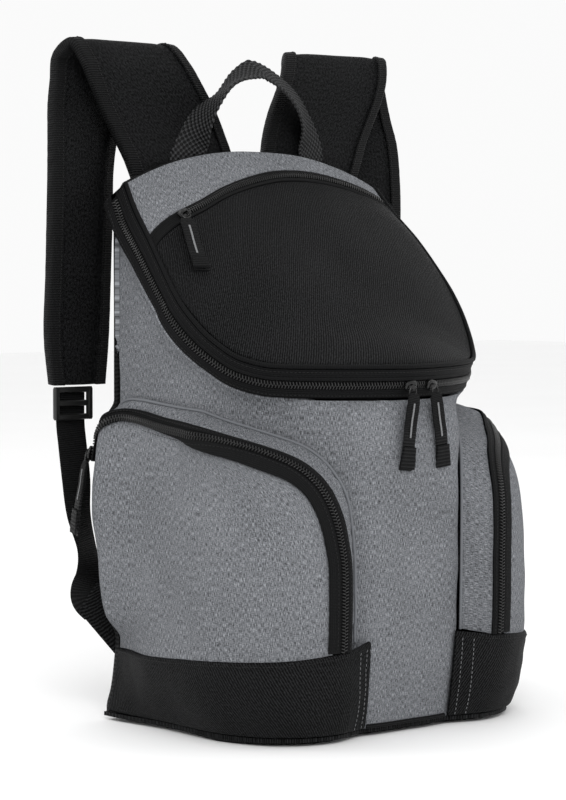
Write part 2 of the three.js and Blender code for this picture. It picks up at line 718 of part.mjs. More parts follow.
function makePocket(name, side) {
  const place = (surface) => mirrored(surface, side);
  add(`${name}_side_pocket`, cloth(place(pocketPanel()), 16, 8, pocket.wall, -4 * clearance), finish.grey);
  const gussetStart = 0.016;
  const gusset = (i, j) => {
    const t = lerp(gussetStart, 1, i);
    return onSheet(zipEdge(t)).lerp(seamPoint(t), j);
  };
  add(`${name}_pocket_gusset`, cloth(place(gusset), 30, 2, pocket.wall, -4 * clearance), finish.grey);
  const tape = (i, j) => onSheet(zipPoint(i, pocketTape.width * tapeShare(i) * j));
  const tapeHeight = 2 * clearance + pocketTape.thick;
  add(`${name}_pocket_zip_tape`, cloth(place(tape), 36, 3, pocketTape.thick, tapeHeight), finish.black);
  const chain = (i, j) => (
    onSheet(zipPoint(i, pocketTape.coilAt + lerp(-coil.width / 2, coil.width / 2, j)))
  );
  const chainLift = tapeHeight + 2 * clearance;
  add(`${name}_pocket_zip_chain`, bead(place(chain), 36, coil.height, chainLift), finish.coil);
  add(`${name}_base`, cloth(place(basePoint), 24, 3, base.thick, base.proud), finish.weave);

  const on = frameOn(place(tape), pocketSlider.along, pocketTape.coilAt / pocketTape.width / tapeShare(0));
  on.along.multiplyScalar(Math.sign(on.along.z));
  add(`${name}_pocket_slider`, sliderSolid(on, chainLift + coil.height + clearance), finish.metal);
  const start = on.at.clone()
    .addScaledVector(on.out, chainLift + coil.height + clearance + slider.height / 2)
    .addScaledVector(on.along, -slider.length / 2 - 3 * clearance);
  const end = start.clone().add(V(side * -pocketSlider.sway, pocketSlider.swing, -pull.length));
  add(`${name}_pocket_pull`, pullSolid([start, end], V(side * -0.31, 0.95, 0)), finish.webbing);
}

// Base: once round the pocket's foot and in to the compartment
function basePoint(i, j) {
  const roundShare = 0.87;
  const low = footZ + 3 * clearance;
  if (i <= roundShare) {
    const a = i / roundShare;
    return pocketPoint(a, lerp(low, baseHeight(a), j));
  }
  const inward = (i - roundShare) / (1 - roundShare);
  const z = lerp(low, baseHeight(1) + baseInnerRise * inward, j);
  const seam = beside(gussetTurn, z, base.thick + clearance);
  return pocketPoint(1, z).lerp(seam, inward);
}

// Directions on a surface: along its first parameter, across it and out of it
function frameOn(surface, i, j) {
  const step = 0.004;
  const at = surface(i, j);
  const along = surface(Math.min(1, i + step), j).sub(surface(Math.max(0, i - step), j)).normalize();
  const across = surface(i, Math.min(1, j + step)).sub(surface(i, Math.max(0, j - step))).normalize();
  const out = along.clone().cross(across).normalize();
  if (out.dot(at.clone().sub(heart)) < 0) out.negate();
  across.crossVectors(out, along);
  return { at, along, across, out };
}

// Zip slider: a low body that is wide in the middle, over the coil
function sliderSolid({ at, along, across, out }, lift) {
  const outline = [
    { along: -0.5, width: 0.3, height: 0.7 },
    { along: -0.3, width: 0.5, height: 1 },
    { along: 0.2, width: 0.42, height: 1 },
    { along: 0.5, width: 0.3, height: 0.75 },
  ];
  const section = [[-1, 0], [-1, 0.6], [-0.6, 1], [0.6, 1], [1, 0.6], [1, 0]];
  return solidFromRings(outline.map((row) => section.map(([w, h]) => (
    at.clone()
      .addScaledVector(along, row.along * slider.length)
      .addScaledVector(across, w * row.width * slider.width)
      .addScaledVector(out, lift + h * row.height * slider.height)
  ))));
}

// Webbing through points, with its width along the given direction
function pullSolid(points, wide) {
  const [first, last] = [points[0], points[points.length - 1]];
  const along = last.clone().sub(first).normalize();
  const across = wide.clone().addScaledVector(along, -wide.dot(along)).normalize();
  const out = along.clone().cross(across);
  return solidFromRings(points.map((p) => ribbonCorners(p, across, out, pull.width, pull.thick)));
}

const ribbonCorners = (at, across, out, width, thick) => (
  [[-1, -1], [1, -1], [1, 1], [-1, 1]].map(([w, h]) => (
    at.clone().addScaledVector(across, (w * width) / 2).addScaledVector(out, (h * thick) / 2)
  ))
);

function makeLidPulls() {
  const band = (i, j) => bandPoint(2 * i - 1, lidBand.width * j);
  lidSliders.forEach(({ name, turn, pullY, lean }) => {
    const on = frameOn(band, (turn + 1) / 2, lidBand.coilAt / lidBand.width);
    add(`lid_slider_${name}`, sliderSolid(on, lidCoilLift + coil.height + clearance), finish.metal);
    const start = V(on.at.x, pullY, on.at.z - slider.width / 2 - 7 * clearance);
    const end = start.clone().add(V(lean, -0.6, -pull.length));
    add(`lid_pull_${name}`, pullSolid([start, end], V(1, 0, 0)), finish.webbing);
  });

  const { across, pullFrom, pullTo, pullAcross } = lidPocketSlider;
  const strip = (i, j) => lidStrip(2 * i - 1, lerp(-1, 1, j) * (lidPocketTape.width / 2));
  const on = frameOn(strip, (across + 1) / 2, 0.5);
  add('lid_pocket_slider', sliderSolid(on, 3 * clearance + coil.height), finish.metal);
  const depth = compartment.backY - lidPoint(across, 1).y;
  const from = lidZipShare(across) + pullFrom / depth;
  const surface = (i, j) => lidPoint(lerp(across, pullAcross, j) + (i - 0.5) * 0.05, lerp(from, pullTo, j));
  const points = [0, 1 / 3, 2 / 3, 1].map((j) => {
    const { at, out } = frameOn(surface, 0.5, j);
    return at.addScaledVector(out, clearance + pull.thick / 2 + 0.7);
  });
  add('lid_pocket_pull', pullSolid(points, on.along), finish.webbing);
}

// Half width of the back panel: the pockets' back edge, the compartment, then the lid's corner
function backHalfWidth(z) {
  const pocketHalf = -pocketPoint(0, Math.min(z, pocket.height)).x;
  const lower = lerp(pocketHalf, compartment.halfWidth, ease((z - backPanel.pocketZ) / 15));
  return lerp(lower, rim.backHalf, hold((z - backPanel.earZ) / (rim.backZ - backPanel.earZ)));
}

function makeBackPanel() {
  const low = footZ + clearance;
  const surface = (i, j) => {
    const t = 2 * i - 1;
    const z = lerp(low, lidPoint(t, 0).z, j);
    return V(t * backHalfWidth(z), compartment.backY + clearance, z);
  };
  const inner = sample(surface, 12, 12);
  const outer = inner.map((row) => row.map((p) => V(p.x, p.y + backPanel.thick, p.z)));
  add('back_panel', solidFromGrids(outer, inner), finish.black);
}

// Front edge of the bottom, from the middle to the pocket's end and round to its corner
function bottomFront(part) {
  const [seamPart, endPart] = [0.3, 0.42];
  const seam = beside(gussetTurn, 0, 0);
  const end = pocketPoint(1, 0);
  if (part < seamPart) return beside((gussetTurn * part) / seamPart, 0, 0);
  if (part < endPart) return seam.lerp(end, (part - seamPart) / (endPart - seamPart));
  return pocketPoint(lerp(1, pocket.sideShare, (part - endPart) / (1 - endPart)), 0);
}

function makeBottom() {
  const backEdge = compartment.backY + clearance + backPanel.thick;
  const corner = pocketPoint(0, 0);
  const edge = (share) => (share < 0.02 ? V(corner.x, backEdge, 0) : pocketPoint(share * pocket.sideShare, 0));
  const half = (part, v) => {
    const ends = V(corner.x * part, backEdge, 0).lerp(bottomFront(part), v);
    const sides = V(0, lerp(backEdge, bottomFront(0).y, v), 0).lerp(edge(v), part);
    const near = V(0, backEdge, 0).lerp(V(corner.x, backEdge, 0), part);
    const far = bottomFront(0).lerp(bottomFront(1), part);
    return ends.add(sides).sub(near.lerp(far, v));
  };
  const under = (i, j) => {
    const t = 2 * i - 1;
    const point = half(Math.abs(t), j);
    const rim = Math.max(Math.abs(t), Math.abs(2 * j - 1));
    return V(-Math.sign(t) * point.x, point.y, bottom.lift * ease((rim - bottom.flatShare) / (1 - bottom.flatShare)));
  };
  const lower = sample(under, 20, 8);
  const upper = lower.map((row) => row.map((p) => V(p.x, p.y, p.z + bottom.thick)));
  add('bottom_panel', solidFromGrids(lower, upper), finish.weave);

  const reach = gussetTurn * frontBinding.reach;
  const strip = (i, j) => (
    beside(lerp(reach, -reach, i), footZ + clearance + frontBinding.width * j, clearance)
  );
  add('front_binding', cloth(strip, 8, 1, frontBinding.thick, frontBinding.thick), finish.black);
}

// Carry handle, from the left foot over the arch to the right foot
function handleAt(share) {
  const part = Math.min(share, 1 - share);
  const side = share < 0.5 ? -1 : 1;
  const y = compartment.backY + backPanel.thick + 2 * clearance + handle.thick / 2;
  if (part < handle.legShare) {
    return V(side * handle.halfSpan, y, lerp(handle.footZ, handle.springZ, part / handle.legShare));
  }
  const angle = (Math.PI / 2) * ((part - handle.legShare) / (0.5 - handle.legShare));
  const z = lerp(handle.springZ, handle.crownZ, Math.sin(angle));
  const forward = handle.lean * ease((z - handle.twistZ) / handle.leanRise);
  return V(side * handle.halfSpan * Math.cos(angle) ** handle.point, y - forward, z);
}

function makeHandle() {
  const rows = 28;
  const rings = Array.from({ length: rows + 1 }, (_, i) => {
    const share = i / rows;
    const at = handleAt(share);
    const along = handleAt(Math.min(1, share + 0.01)).sub(handleAt(Math.max(0, share - 0.01))).normalize();
    const lean = -at.x / handle.halfSpan;
    const over = Math.sqrt(Math.max(0, 1 - lean * lean));
    const turned = V(0.93 * lean, -(0.36 + 0.47 * over), -0.56 * over);
    const across = V(-Math.sign(at.x), 0, 0).lerp(turned, ease((at.z - handle.twistZ) / handle.twistRise));
    across.addScaledVector(along, -across.dot(along)).normalize();
    const out = along.clone().cross(across);
    return ribbonCorners(at, across, out, handle.width, handle.thick);
  });
  add('carry_handle', solidFromRings(rings), finish.webbing);
}

// Shoulder strap: centre, width direction, outward direction and half width along its length
const strapLine = (spread, stand) => new THREE.CatmullRomCurve3(
  strapPath.map((row) => (
    V(row[spread] * strap.spread, row[stand] * strap.stand, lerp(strap.endZ, strap.crownZ, row.height))
  )),
  false,
  'centripetal',
);
const strapInner = strapLine('inner', 'innerStand');
const strapOuter = strapLine('outer', 'outerStand');

function strapFrame(share) {
  const [inner, outer] = [strapInner.getPoint(share), strapOuter.getPoint(share)];
  const at = inner.clone().lerp(outer, 0.5);
  const along = strapInner.getTangent(share).add(strapOuter.getTangent(share)).normalize();
  const across = outer.clone().sub(inner).normalize();
  const out = across.clone().cross(along).normalize();
  return { at, across, out, half: inner.distanceTo(outer) / 2 };
}

const ringsOf = (frame, rows, section, side) => (
  Array.from({ length: rows + 1 }, (_, i) => {
    const { at, across, out, half } = frame(i / rows);
    return section(half).map(([w, h]) => {
      const p = at.clone().addScaledVector(across, w).addScaledVector(out, h);
      return V(side * p.x, p.y, p.z);
    });
  })
);

function makeStrap(name, side) {
  const rows = 22;
  const [full, slim] = [strap.thick / 2, strap.thick / 2 - strapEdge.slope];
  const core = (half) => {
    const [edge, shoulder] = [half - strapEdge.inset, half - binding.width];
    return [
      [-edge, -slim], [-shoulder, -full], [shoulder, -full], [edge, -slim],
      [edge, slim], [shoulder, full], [-shoulder, full], [-edge, slim],
    ];
  };
  add(`${name}_shoulder_strap`, solidFromRings(ringsOf(strapFrame, rows, core, side)), finish.strap);
  [['inner', -1], ['outer', 1]].forEach(([place, way]) => {
    const tape = (gap) => (half) => {
      const [edge, shoulder] = [half - strapEdge.inset + gap, half - binding.width + 0.6];
      return [
        [way * shoulder, full + gap], [way * edge, slim + gap],
        [way * edge, -slim - gap], [way * shoulder, -full - gap],
      ];
    };
    const outer = ringsOf(strapFrame, rows, tape(3 * clearance + binding.thick), side);
    const inner = ringsOf(strapFrame, rows, tape(3 * clearance), side);
    add(`${name}_strap_binding_${place}`, solidFromGrids(outer, inner), finish.webbing);
  });
}

// Ladder lock: a flat frame with a bar between two slots
function makeBuckle(name, side) {
  const { width, height, thick, bar } = buckle;
  const box = (shape, halfWide, low, high) => {
    shape.moveTo(-halfWide, low);
    shape.lineTo(halfWide, low);
    shape.lineTo(halfWide, high);
    shape.lineTo(-halfWide, high);
    shape.closePath();
    return shape;
  };
  const outline = box(new THREE.Shape(), width / 2, -height / 2, height / 2);
  const slotHalf = width / 2 - bar;
  outline.holes.push(box(new THREE.Path(), slotHalf, -height / 2 + bar, -bar / 2));
  outline.holes.push(box(new THREE.Path(), slotHalf, bar / 2, height / 2 - bar));
  const geometry = new THREE.ExtrudeGeometry(outline, { depth: thick, bevelEnabled: false, steps: 1 });
  geometry.rotateX(Math.PI / 2);
  const mesh = add(`${name}_strap_buckle`, geometry, finish.plastic);
  mesh.position.set(side * buckle.x, buckle.y + thick / 2, buckle.z);
}

// Webbing from the buckle down to the wing, turning edge-on on its way
const webbingRows = webbingPath.map((row, i) => ({
  at: V(row.spread * webbing.spread, row.stand * webbing.stand, row.height * webbing.topZ),
  across: V(row.acrossX, row.acrossY, row.acrossZ),
  along: i / (webbingPath.length - 1),
}));
const webbingCurve = new THREE.CatmullRomCurve3(webbingRows.map(({ at }) => at), false, 'centripetal');
const webbingTurn = new THREE.CatmullRomCurve3(webbingRows.map(({ across }) => across), false, 'catmullrom', 0.5);

function webbingFrame(share) {
  const along = webbingCurve.getTangent(share);
  const wide = webbingTurn.getPoint(share);
  const across = wide.addScaledVector(along, -wide.dot(along)).normalize();
  return { at: webbingCurve.getPoint(share), across, out: across.clone().cross(along) };
}

function makeWebbing(name, side) {
  const [w, h] = [webbing.width / 2, webbing.thick / 2];
  const section = () => [[-w, -h], [w, -h], [w, h], [-w, h]];
  add(`${name}_lower_webbing`, solidFromRings(ringsOf(webbingFrame, 20, section, side)), finish.webbing);
}

// Wing: a tab from the back panel out to the end of the webbing
function makeWing(name, side) {
  const y = compartment.backY + backPanel.thick + 2 * clearance;
  const { foot, edge, tip } = wing;
  const lines = [
    [V(foot.x, y, foot.lowZ), V(foot.x, y, foot.highZ)],
    [V(edge.x, y, edge.lowZ), V(edge.x, y, edge.highZ)],
    [V(tip.lowX, tip.lowY, tip.lowZ), V(tip.highX, tip.highY, tip.highZ)],
  ];
  const surface = (i, j) => {
    const k = Math.min(1, Math.floor(i * 2));
    const line = (n) => lines[n][0].clone().lerp(lines[n][1], j);
    const p = line(k).lerp(line(k + 1), i * 2 - k);
    return V(side * p.x, p.y, p.z);
  };
  const inner = sample(surface, 4, 1);
  const outer = inner.map((row) => row.map((p) => V(p.x, p.y + wing.thick, p.z)));
  add(`${name}_base_wing`, solidFromGrids(outer, inner), finish.weave);
}

makeBody();
makeBackPanel();
makeBottom();
makeLid();
makePiping();
makeLidBand();
makeLidPulls();
makePocket('left', 1);
makePocket('right', -1);
makeHandle();
[['left', -1], ['right', 1]].forEach(([name, side]) => {
  makeStrap(name, side);
  makeBuckle(name, side);
  makeWebbing(name, side);
  makeWing(name, side);
});

export default bag;
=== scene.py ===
import math
import bmesh
import bpy
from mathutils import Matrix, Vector, noise


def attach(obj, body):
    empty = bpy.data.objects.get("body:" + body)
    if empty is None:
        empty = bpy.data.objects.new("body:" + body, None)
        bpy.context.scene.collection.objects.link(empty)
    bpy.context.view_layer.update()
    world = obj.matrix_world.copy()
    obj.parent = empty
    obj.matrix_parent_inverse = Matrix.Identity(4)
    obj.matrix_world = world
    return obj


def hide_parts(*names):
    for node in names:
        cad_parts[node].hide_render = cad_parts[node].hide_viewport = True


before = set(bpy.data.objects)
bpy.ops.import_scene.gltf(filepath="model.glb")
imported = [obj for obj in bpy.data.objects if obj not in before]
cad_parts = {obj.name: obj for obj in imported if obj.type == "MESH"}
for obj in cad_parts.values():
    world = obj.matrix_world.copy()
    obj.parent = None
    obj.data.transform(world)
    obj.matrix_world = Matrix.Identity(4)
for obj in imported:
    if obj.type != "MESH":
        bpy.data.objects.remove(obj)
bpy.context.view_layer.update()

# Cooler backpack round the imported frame. Shapes are worked out in millimetres and made in metres;
# lamps, materials and UV maps are in metres.
gap = 0.3

# Camera, floor and light
view = {"azimuth": -39.37, "elevation": 3.07, "distance": 1999.18, "target": (-37.34, 19.22, 250.61),
        "lens": 115.15, "sensor": 36, "farEnd": 60}
studio = {"floorSize": 14, "floorTone": 0.95, "skyTone": 0.99, "skyStrength": 0.97, "lampAim": (0, 0, 0.28)}
lights = [
    {"name": "keyLight", "at": (-1.5, -2.3, 2.1), "size": 1.4, "power": 44},
    {"name": "fillLight", "at": (2.2, -1.7, 1.3), "size": 1.6, "power": 9},
    {"name": "topLight", "at": (0.1, 0.3, 2.7), "size": 1.4, "power": 7},
    {"name": "rimLight", "at": (-1.9, 1.6, 1.7), "size": 1.0, "power": 10},
]


def makeStudio():
    az, el = math.radians(view["azimuth"]), math.radians(view["elevation"])
    back = Vector((math.sin(az) * math.cos(el), -math.cos(az) * math.cos(el), math.sin(el)))
    target = Vector(view["target"]) / 1000
    camera = bpy.data.objects.new("camera", bpy.data.cameras.new("camera"))
    bpy.context.scene.collection.objects.link(camera)
    camera.location = target + back * view["distance"] / 1000
    camera.rotation_euler = (-back).to_track_quat("-Z", "Y").to_euler()
    camera.data.lens = view["lens"]
    camera.data.sensor_width = view["sensor"]
    camera.data.clip_end = view["farEnd"]
    bpy.context.scene.camera = camera
    for light in lights:
        lamp = bpy.data.lights.new(light["name"], "AREA")
        lamp.energy, lamp.size = light["power"], light["size"]
        holder = bpy.data.objects.new(light["name"], lamp)
        bpy.context.scene.collection.objects.link(holder)
        holder.location = light["at"]
        aim = Vector(studio["lampAim"]) - Vector(light["at"])
        holder.rotation_euler = aim.to_track_quat("-Z", "Y").to_euler()
    world = bpy.data.worlds.new("studio")
    world.use_nodes = True
    sky = world.node_tree.nodes["Background"]
    sky.inputs["Color"].default_value = (studio["skyTone"],) * 3 + (1,)
    sky.inputs["Strength"].default_value = studio["skyStrength"]
    bpy.context.scene.world = world
    bpy.context.scene.view_settings.view_transform = "Standard"
    half = studio["floorSize"] / 2
    mesh = bpy.data.meshes.new("floor")
    corners = [(-half, -half, 0), (half, -half, 0), (half, half, 0), (-half, half, 0)]
    mesh.from_pydata(corners, [], [(0, 1, 2, 3)])
    floor = bpy.data.objects.new("floor", mesh)
    bpy.context.scene.collection.objects.link(floor)
    mesh.materials.append(floorPaint())


# A socket of a material, so that shader maths reads as plain sums
class Flow:
    def __init__(self, tree, socket):
        self.tree = tree
        self.socket = socket

    def node(self, kind, settings=None, sockets=None, out=0):
        made = self.tree.nodes.new(kind)
        for name, value in (settings or {}).items():
            if name == "stops":
                ramp = made.color_ramp
                while len(ramp.elements) < len(value):
                    ramp.elements.new(1)
                for element, (position, colour) in zip(ramp.elements, value):
                    element.position = position
                    element.color = colour
            else:
                setattr(made, name, value)
        for name, value in (sockets or {}).items():
            if isinstance(value, Flow):
                self.tree.links.new(value.socket, made.inputs[name])
            else:
                made.inputs[name].default_value = value
        return Flow(self.tree, made.outputs[out])

    def maths(self, operation, other=0.0):
        return self.node("ShaderNodeMath", {"operation": operation}, {0: self, 1: other})

    def __add__(self, other): return self.maths("ADD", other)
    def __sub__(self, other): return self.maths("SUBTRACT", other)
    def __rsub__(self, other): return self * -1 + other
    def __mul__(self, other): return self.maths("MULTIPLY", other)
    def __rmul__(self, other): return self.maths("MULTIPLY", other)

    def wave(self, pitch):
        return (self * (2 * math.pi / pitch)).maths("SINE")

    def split(self):
        return [self.node("ShaderNodeSeparateXYZ", None, {0: self}, k) for k in range(3)]

    def join(self, y, z=0.0):
        return self.node("ShaderNodeCombineXYZ", None, {0: self, 1: y, 2: z})

    def speckle(self, scale, detail=2.0):
        return self.node("ShaderNodeTexNoise", None, {"Vector": self, "Scale": scale, "Detail": detail})

    def ramp(self, *stops):
        return self.node("ShaderNodeValToRGB", {"stops": stops}, {"Fac": self})

    def bump(self, distance):
        return self.node("ShaderNodeBump", None, {"Height": self, "Distance": distance})


def grey(tone, blue=0.0):
    return (tone, tone * (1 + blue / 3), tone * (1 + blue), 1)


# A material with its shader and the flow of its UV map, which is in metres
def newPaint(name, constants):
    material = bpy.data.materials.new(name)
    material.use_nodes = True
    tree = material.node_tree
    shader = tree.nodes["Principled BSDF"]
    for socket, value in constants.items():
        shader.inputs[socket].default_value = value
    uv = tree.nodes.new("ShaderNodeUVMap")
    uv.uv_map = "UVMap"
    return material, shader, Flow(tree, uv.outputs[0])


def feed(shader, flows):
    for socket, flow in flows.items():
        flow.tree.links.new(flow.socket, shader.inputs[socket])


def place(flow):
    return flow.node("ShaderNodeTexCoord", None, None, 3)


def floorPaint():
    tone = studio["floorTone"]
    material, shader, uv = newPaint("floor", {"Roughness": 0.7})
    feed(shader, {"Base Color": place(uv).speckle(3.0).ramp((0.3, grey(tone * 0.985)), (0.7, grey(tone)))})
    return material


# Heather cloth: light and dark slubs along both threads, over a fine plain weave. Counts are per metre.
heather = {"slubAcross": 2300, "warpAlong": 270, "weftAlong": 380, "clouds": 14, "thread": 0.0009,
           "warpShare": 0.54, "weftShare": 0.3, "fineShare": 0.12, "cloudShare": 0.06, "offset": 0.01,
           "dark": 0.03, "middle": 0.142, "light": 0.34, "relief": 0.00035}


def heatherPaint():
    material, shader, uv = newPaint("grey_cloth", {"Specular IOR Level": 0.12})
    u, v, _ = uv.split()
    across = heather["slubAcross"]
    warp = (u * across).join(v * heather["warpAlong"]).speckle(1.0) * heather["warpShare"]
    weft = (u * heather["weftAlong"]).join(v * across, 9.0).speckle(1.0) * heather["weftShare"]
    fine = (u * across).join(v * across, 4.0).speckle(1.0, 1.0) * heather["fineShare"]
    tone = warp + weft + fine + uv.speckle(heather["clouds"]) * heather["cloudShare"] - heather["offset"]
    colour = tone.ramp((0.38, grey(heather["dark"], 0.1)), (0.5, grey(heather["middle"], 0.12)),
                       (0.63, grey(heather["light"], 0.1)))
    weave = u.wave(heather["thread"]) * v.wave(heather["thread"]) * 0.3 + tone * 1.6
    feed(shader, {"Base Color": colour, "Roughness": 0.95 - 0.12 * tone,
                  "Normal": weave.bump(heather["relief"])})
    return material


# Black twill: a diagonal rib with broken threads
twillCloth = {"pitch": 0.0021, "threadPitch": 0.0012, "rise": 0.94, "run": 0.55, "drifts": 260,
              "drift": 0.0011, "flecks": 620, "clouds": 16, "dark": 0.0003, "light": 0.0195, "relief": 0.0005}


def twillPaint():
    material, shader, uv = newPaint("black_twill", {"Specular IOR Level": 0.07})
    u, v, _ = uv.split()
    rise, run = twillCloth["rise"], twillCloth["run"]
    drift = uv.speckle(twillCloth["drifts"], 1.0) * twillCloth["drift"]
    rib = (u * rise + v * run + drift).wave(twillCloth["pitch"])
    thread = (v * rise - u * run).wave(twillCloth["threadPitch"])
    broken = (u * twillCloth["flecks"]).join(v * twillCloth["flecks"]).speckle(1.0, 1.0)
    height = rib * 0.5 + thread * 0.22 + broken * 0.7
    tone = rib * 0.16 + thread * 0.06 + broken * 0.72 + uv.speckle(twillCloth["clouds"], 3.0) * 0.16
    colour = tone.ramp((0.32, grey(twillCloth["dark"], 0.1)), (0.66, grey(twillCloth["light"], 0.08)))
    feed(shader, {"Base Color": colour, "Roughness": 0.62 - 0.1 * height,
                  "Normal": height.bump(twillCloth["relief"])})
    return material


# Plain black cloth of zip tapes and facings: fine ribs along and across the tape
tapeCloth = {"ribPitch": 0.0016, "threadPitch": 0.0011, "flecks": 800, "dark": 0.0025, "light": 0.0085,
             "relief": 0.0003}


def tapePaint():
    material, shader, uv = newPaint("black_cloth", {"Specular IOR Level": 0.08})
    u, v, _ = uv.split()
    broken = (u * tapeCloth["flecks"]).join(v * tapeCloth["flecks"]).speckle(1.0)
    height = v.wave(tapeCloth["ribPitch"]) * 0.4 + u.wave(tapeCloth["threadPitch"]) * 0.4 + broken
    tone = height * 0.4 + 0.3
    colour = tone.ramp((0.2, grey(tapeCloth["dark"], 0.1)), (0.9, grey(tapeCloth["light"], 0.08)))
    feed(shader, {"Base Color": colour, "Roughness": 0.68 - 0.1 * broken,
                  "Normal": height.bump(tapeCloth["relief"])})
    return material


# Strap cloth: fine twill with small flecks
strapCloth = {"pitch": 0.0014, "flecksAcross": 620, "flecksAlong": 460, "clouds": 12, "dark": 0.0004,
              "light": 0.014, "relief": 0.0003}


def strapPaint():
    material, shader, uv = newPaint("strap_cloth", {"Specular IOR Level": 0.05})
    u, v, _ = uv.split()
    rib = (u + v).wave(strapCloth["pitch"]) * 0.5
    thread = (u * strapCloth["flecksAcross"]).join(v * strapCloth["flecksAlong"]).speckle(1.0, 1.0)
    height = rib + thread * 0.6
    tone = rib * 0.2 + thread * 0.84 + uv.speckle(strapCloth["clouds"], 3.0) * 0.16
    colour = tone.ramp((0.32, grey(strapCloth["dark"], 0.1)), (0.7, grey(strapCloth["light"], 0.08)))
    feed(shader, {"Base Color": colour, "Roughness": 0.6 - 0.1 * thread,
                  "Normal": height.bump(strapCloth["relief"])})
    return material


# Ribbed webbing: ribs across its length, with the threads running over them
ribbed = {"threadPitch": 0.0012, "flecksAcross": 1200, "flecksAlong": 300, "dark": 0.0022, "relief": 0.0006}


def webbingPaint(name, pitch, light):
    material, shader, uv = newPaint(name, {"Specular IOR Level": 0.1})
    u, v, _ = uv.split()
    broken = (u * ribbed["flecksAcross"]).join(v * ribbed["flecksAlong"]).speckle(1.0)
    height = v.wave(pitch) * 0.6 + u.wave(ribbed["threadPitch"]) * 0.2 + broken * 0.5
    tone = height * 0.35 + 0.35
    colour = tone.ramp((0.15, grey(ribbed["dark"], 0.08)), (0.9, grey(light, 0.06)))
    feed(shader, {"Base Color": colour, "Roughness": 0.6 - 0.12 * height,
                  "Normal": height.bump(ribbed["relief"])})
    return material


# Basket weave: raised knots, as in the handle's own mesh. The colour follows the knots' height, so their tops
# carry a painted highlight and the hollows painted shade, over random thread flecks
basket = {"flecksAcross": 1500, "flecksAlong": 400, "dark": 0.002, "light": 0.034, "relief": 0.0008}


def basketPaint(pitch):
    material, shader, uv = newPaint("basketWebbing", {"Specular IOR Level": 0.16})
    u, v, _ = uv.split()
    thread = (u * basket["flecksAcross"]).join(v * basket["flecksAlong"]).speckle(1.0)
    height = u.wave(pitch) * v.wave(pitch) * 0.5 + thread * 0.5 + 0.25
    # Painted highlight and painted shade: lighter on the knots' raised tops, darker in the hollows between
    # them; only the thread flecks are the webbing's own tone
    colour = height.ramp((0.3, grey(basket["dark"], 0.08)), (0.95, grey(basket["light"], 0.06)))
    feed(shader, {"Base Color": colour, "Roughness": 0.6 - 0.12 * height,
                  "Normal": height.bump(basket["relief"])})
    return material


def hardPaint(name, tone, rough, metallic, grain):
    material, shader, uv = newPaint(name, {"Metallic": metallic})
    spot = place(uv)
    colour = spot.speckle(grain, 3.0).ramp((0.3, grey(tone * 0.7)), (0.7, grey(tone)))
    fine = spot.speckle(grain * 6)
    feed(shader, {"Base Color": colour, "Roughness": fine * 0.22 + (rough - 0.11),
                  "Normal": fine.bump(0.00006)})
    return material


# Twisted thread
def threadPaint(name, tone):
    material, shader, uv = newPaint(name, {"Roughness": 0.55, "Specular IOR Level": 0.25})
    ply = place(uv).speckle(1800.0, 1.0)
    colour = ply.ramp((0.3, grey(tone * 0.55, 0.04)), (0.7, grey(tone, 0.04)))
    feed(shader, {"Base Color": colour, "Normal": ply.bump(0.0002)})
    return material


# Smooth value from rows of (from, values...), without overshoot
def lookUp(rows, at, column=1):
    last = len(rows) - 1
    spot = min(max(at, rows[0][0]), rows[last][0])
    i = 0
    while i < last - 1 and spot > rows[i + 1][0]:
        i += 1

    def slope(j):
        return (rows[j + 1][column] - rows[j][column]) / (rows[j + 1][0] - rows[j][0])

    def tangent(j):
        if j == 0 or j == last:
            return slope(min(j, last - 1))
        a, b = slope(j - 1), slope(j)
        return 0 if a * b <= 0 else 2 * a * b / (a + b)

    span = rows[i + 1][0] - rows[i][0]
    t = (spot - rows[i][0]) / span
    rise = t * t * (3 - 2 * t) * (rows[i + 1][column] - rows[i][column])
    bend = t * (1 - t) * ((1 - t) * tangent(i) - t * tangent(i + 1)) * span
    return rows[i][column] + rise + bend


def hold(value):
    return min(max(value, 0.0), 1.0)


def ease(value):
    return hold(value) ** 2 * (3 - 2 * hold(value))


def lerp(a, b, t):
    return a + (b - a) * t


# Smooth curve through points, spaced by the square root of their distances
class Line:
    def __init__(self, points, tension=None):
        self.points = [Vector(p) for p in points]
        self.tension = tension

    def at(self, t):
        points, last = self.points, len(self.points) - 1
        spot = hold(t) * last
        i = min(int(spot), last - 1)
        w = spot - i
        b, c = points[i], points[i + 1]
        a = points[i - 1] if i > 0 else b * 2 - c
        d = points[i + 2] if i + 2 <= last else c * 2 - b
        if self.tension is not None:
            p, q = (c - a) * self.tension, (d - b) * self.tension
        else:
            near, mid, far = [(y - x).length ** 0.5 for x, y in ((a, b), (b, c), (c, d))]
            mid = mid if mid > 1e-4 else 1
            near = near if near > 1e-4 else mid
            far = far if far > 1e-4 else mid
            p = ((b - a) / near - (c - a) / (near + mid) + (c - b) / mid) * mid
            q = ((c - b) / mid - (d - b) / (mid + far) + (d - c) / far) * mid
        return b + p * w + (b * -3 + c * 3 - p * 2 - q) * w ** 2 + (b * 2 - c * 2 + p + q) * w ** 3

    def way(self, t):
        return (self.at(min(1, t + 1e-4)) - self.at(max(0, t - 1e-4))).normalized()


# The back seam's plane, and a point inside the bag that outward directions lead away from
backY = 100.0
heart = Vector((0, 30, 200))


# What starts in front of the back seam stays in front of it
def inFront(start, point):
    if start.y <= backY + 0.001 and point.y > backY:
        point.y = backY
    return point


def gridNormals(grid):
    rows, cols = len(grid), len(grid[0])
    normals = []
    for i in range(rows):
        line = []
        for j in range(cols):
            along = grid[min(i + 1, rows - 1)][j] - grid[max(i - 1, 0)][j]
            across = grid[i][min(j + 1, cols - 1)] - grid[i][max(j - 1, 0)]
            line.append(along.cross(across).normalized())
        normals.append(line)
    i, j = rows // 2, cols // 2
    if normals[i][j].dot(grid[i][j] - heart) < 0:
        normals = [[-n for n in line] for line in normals]
    return normals


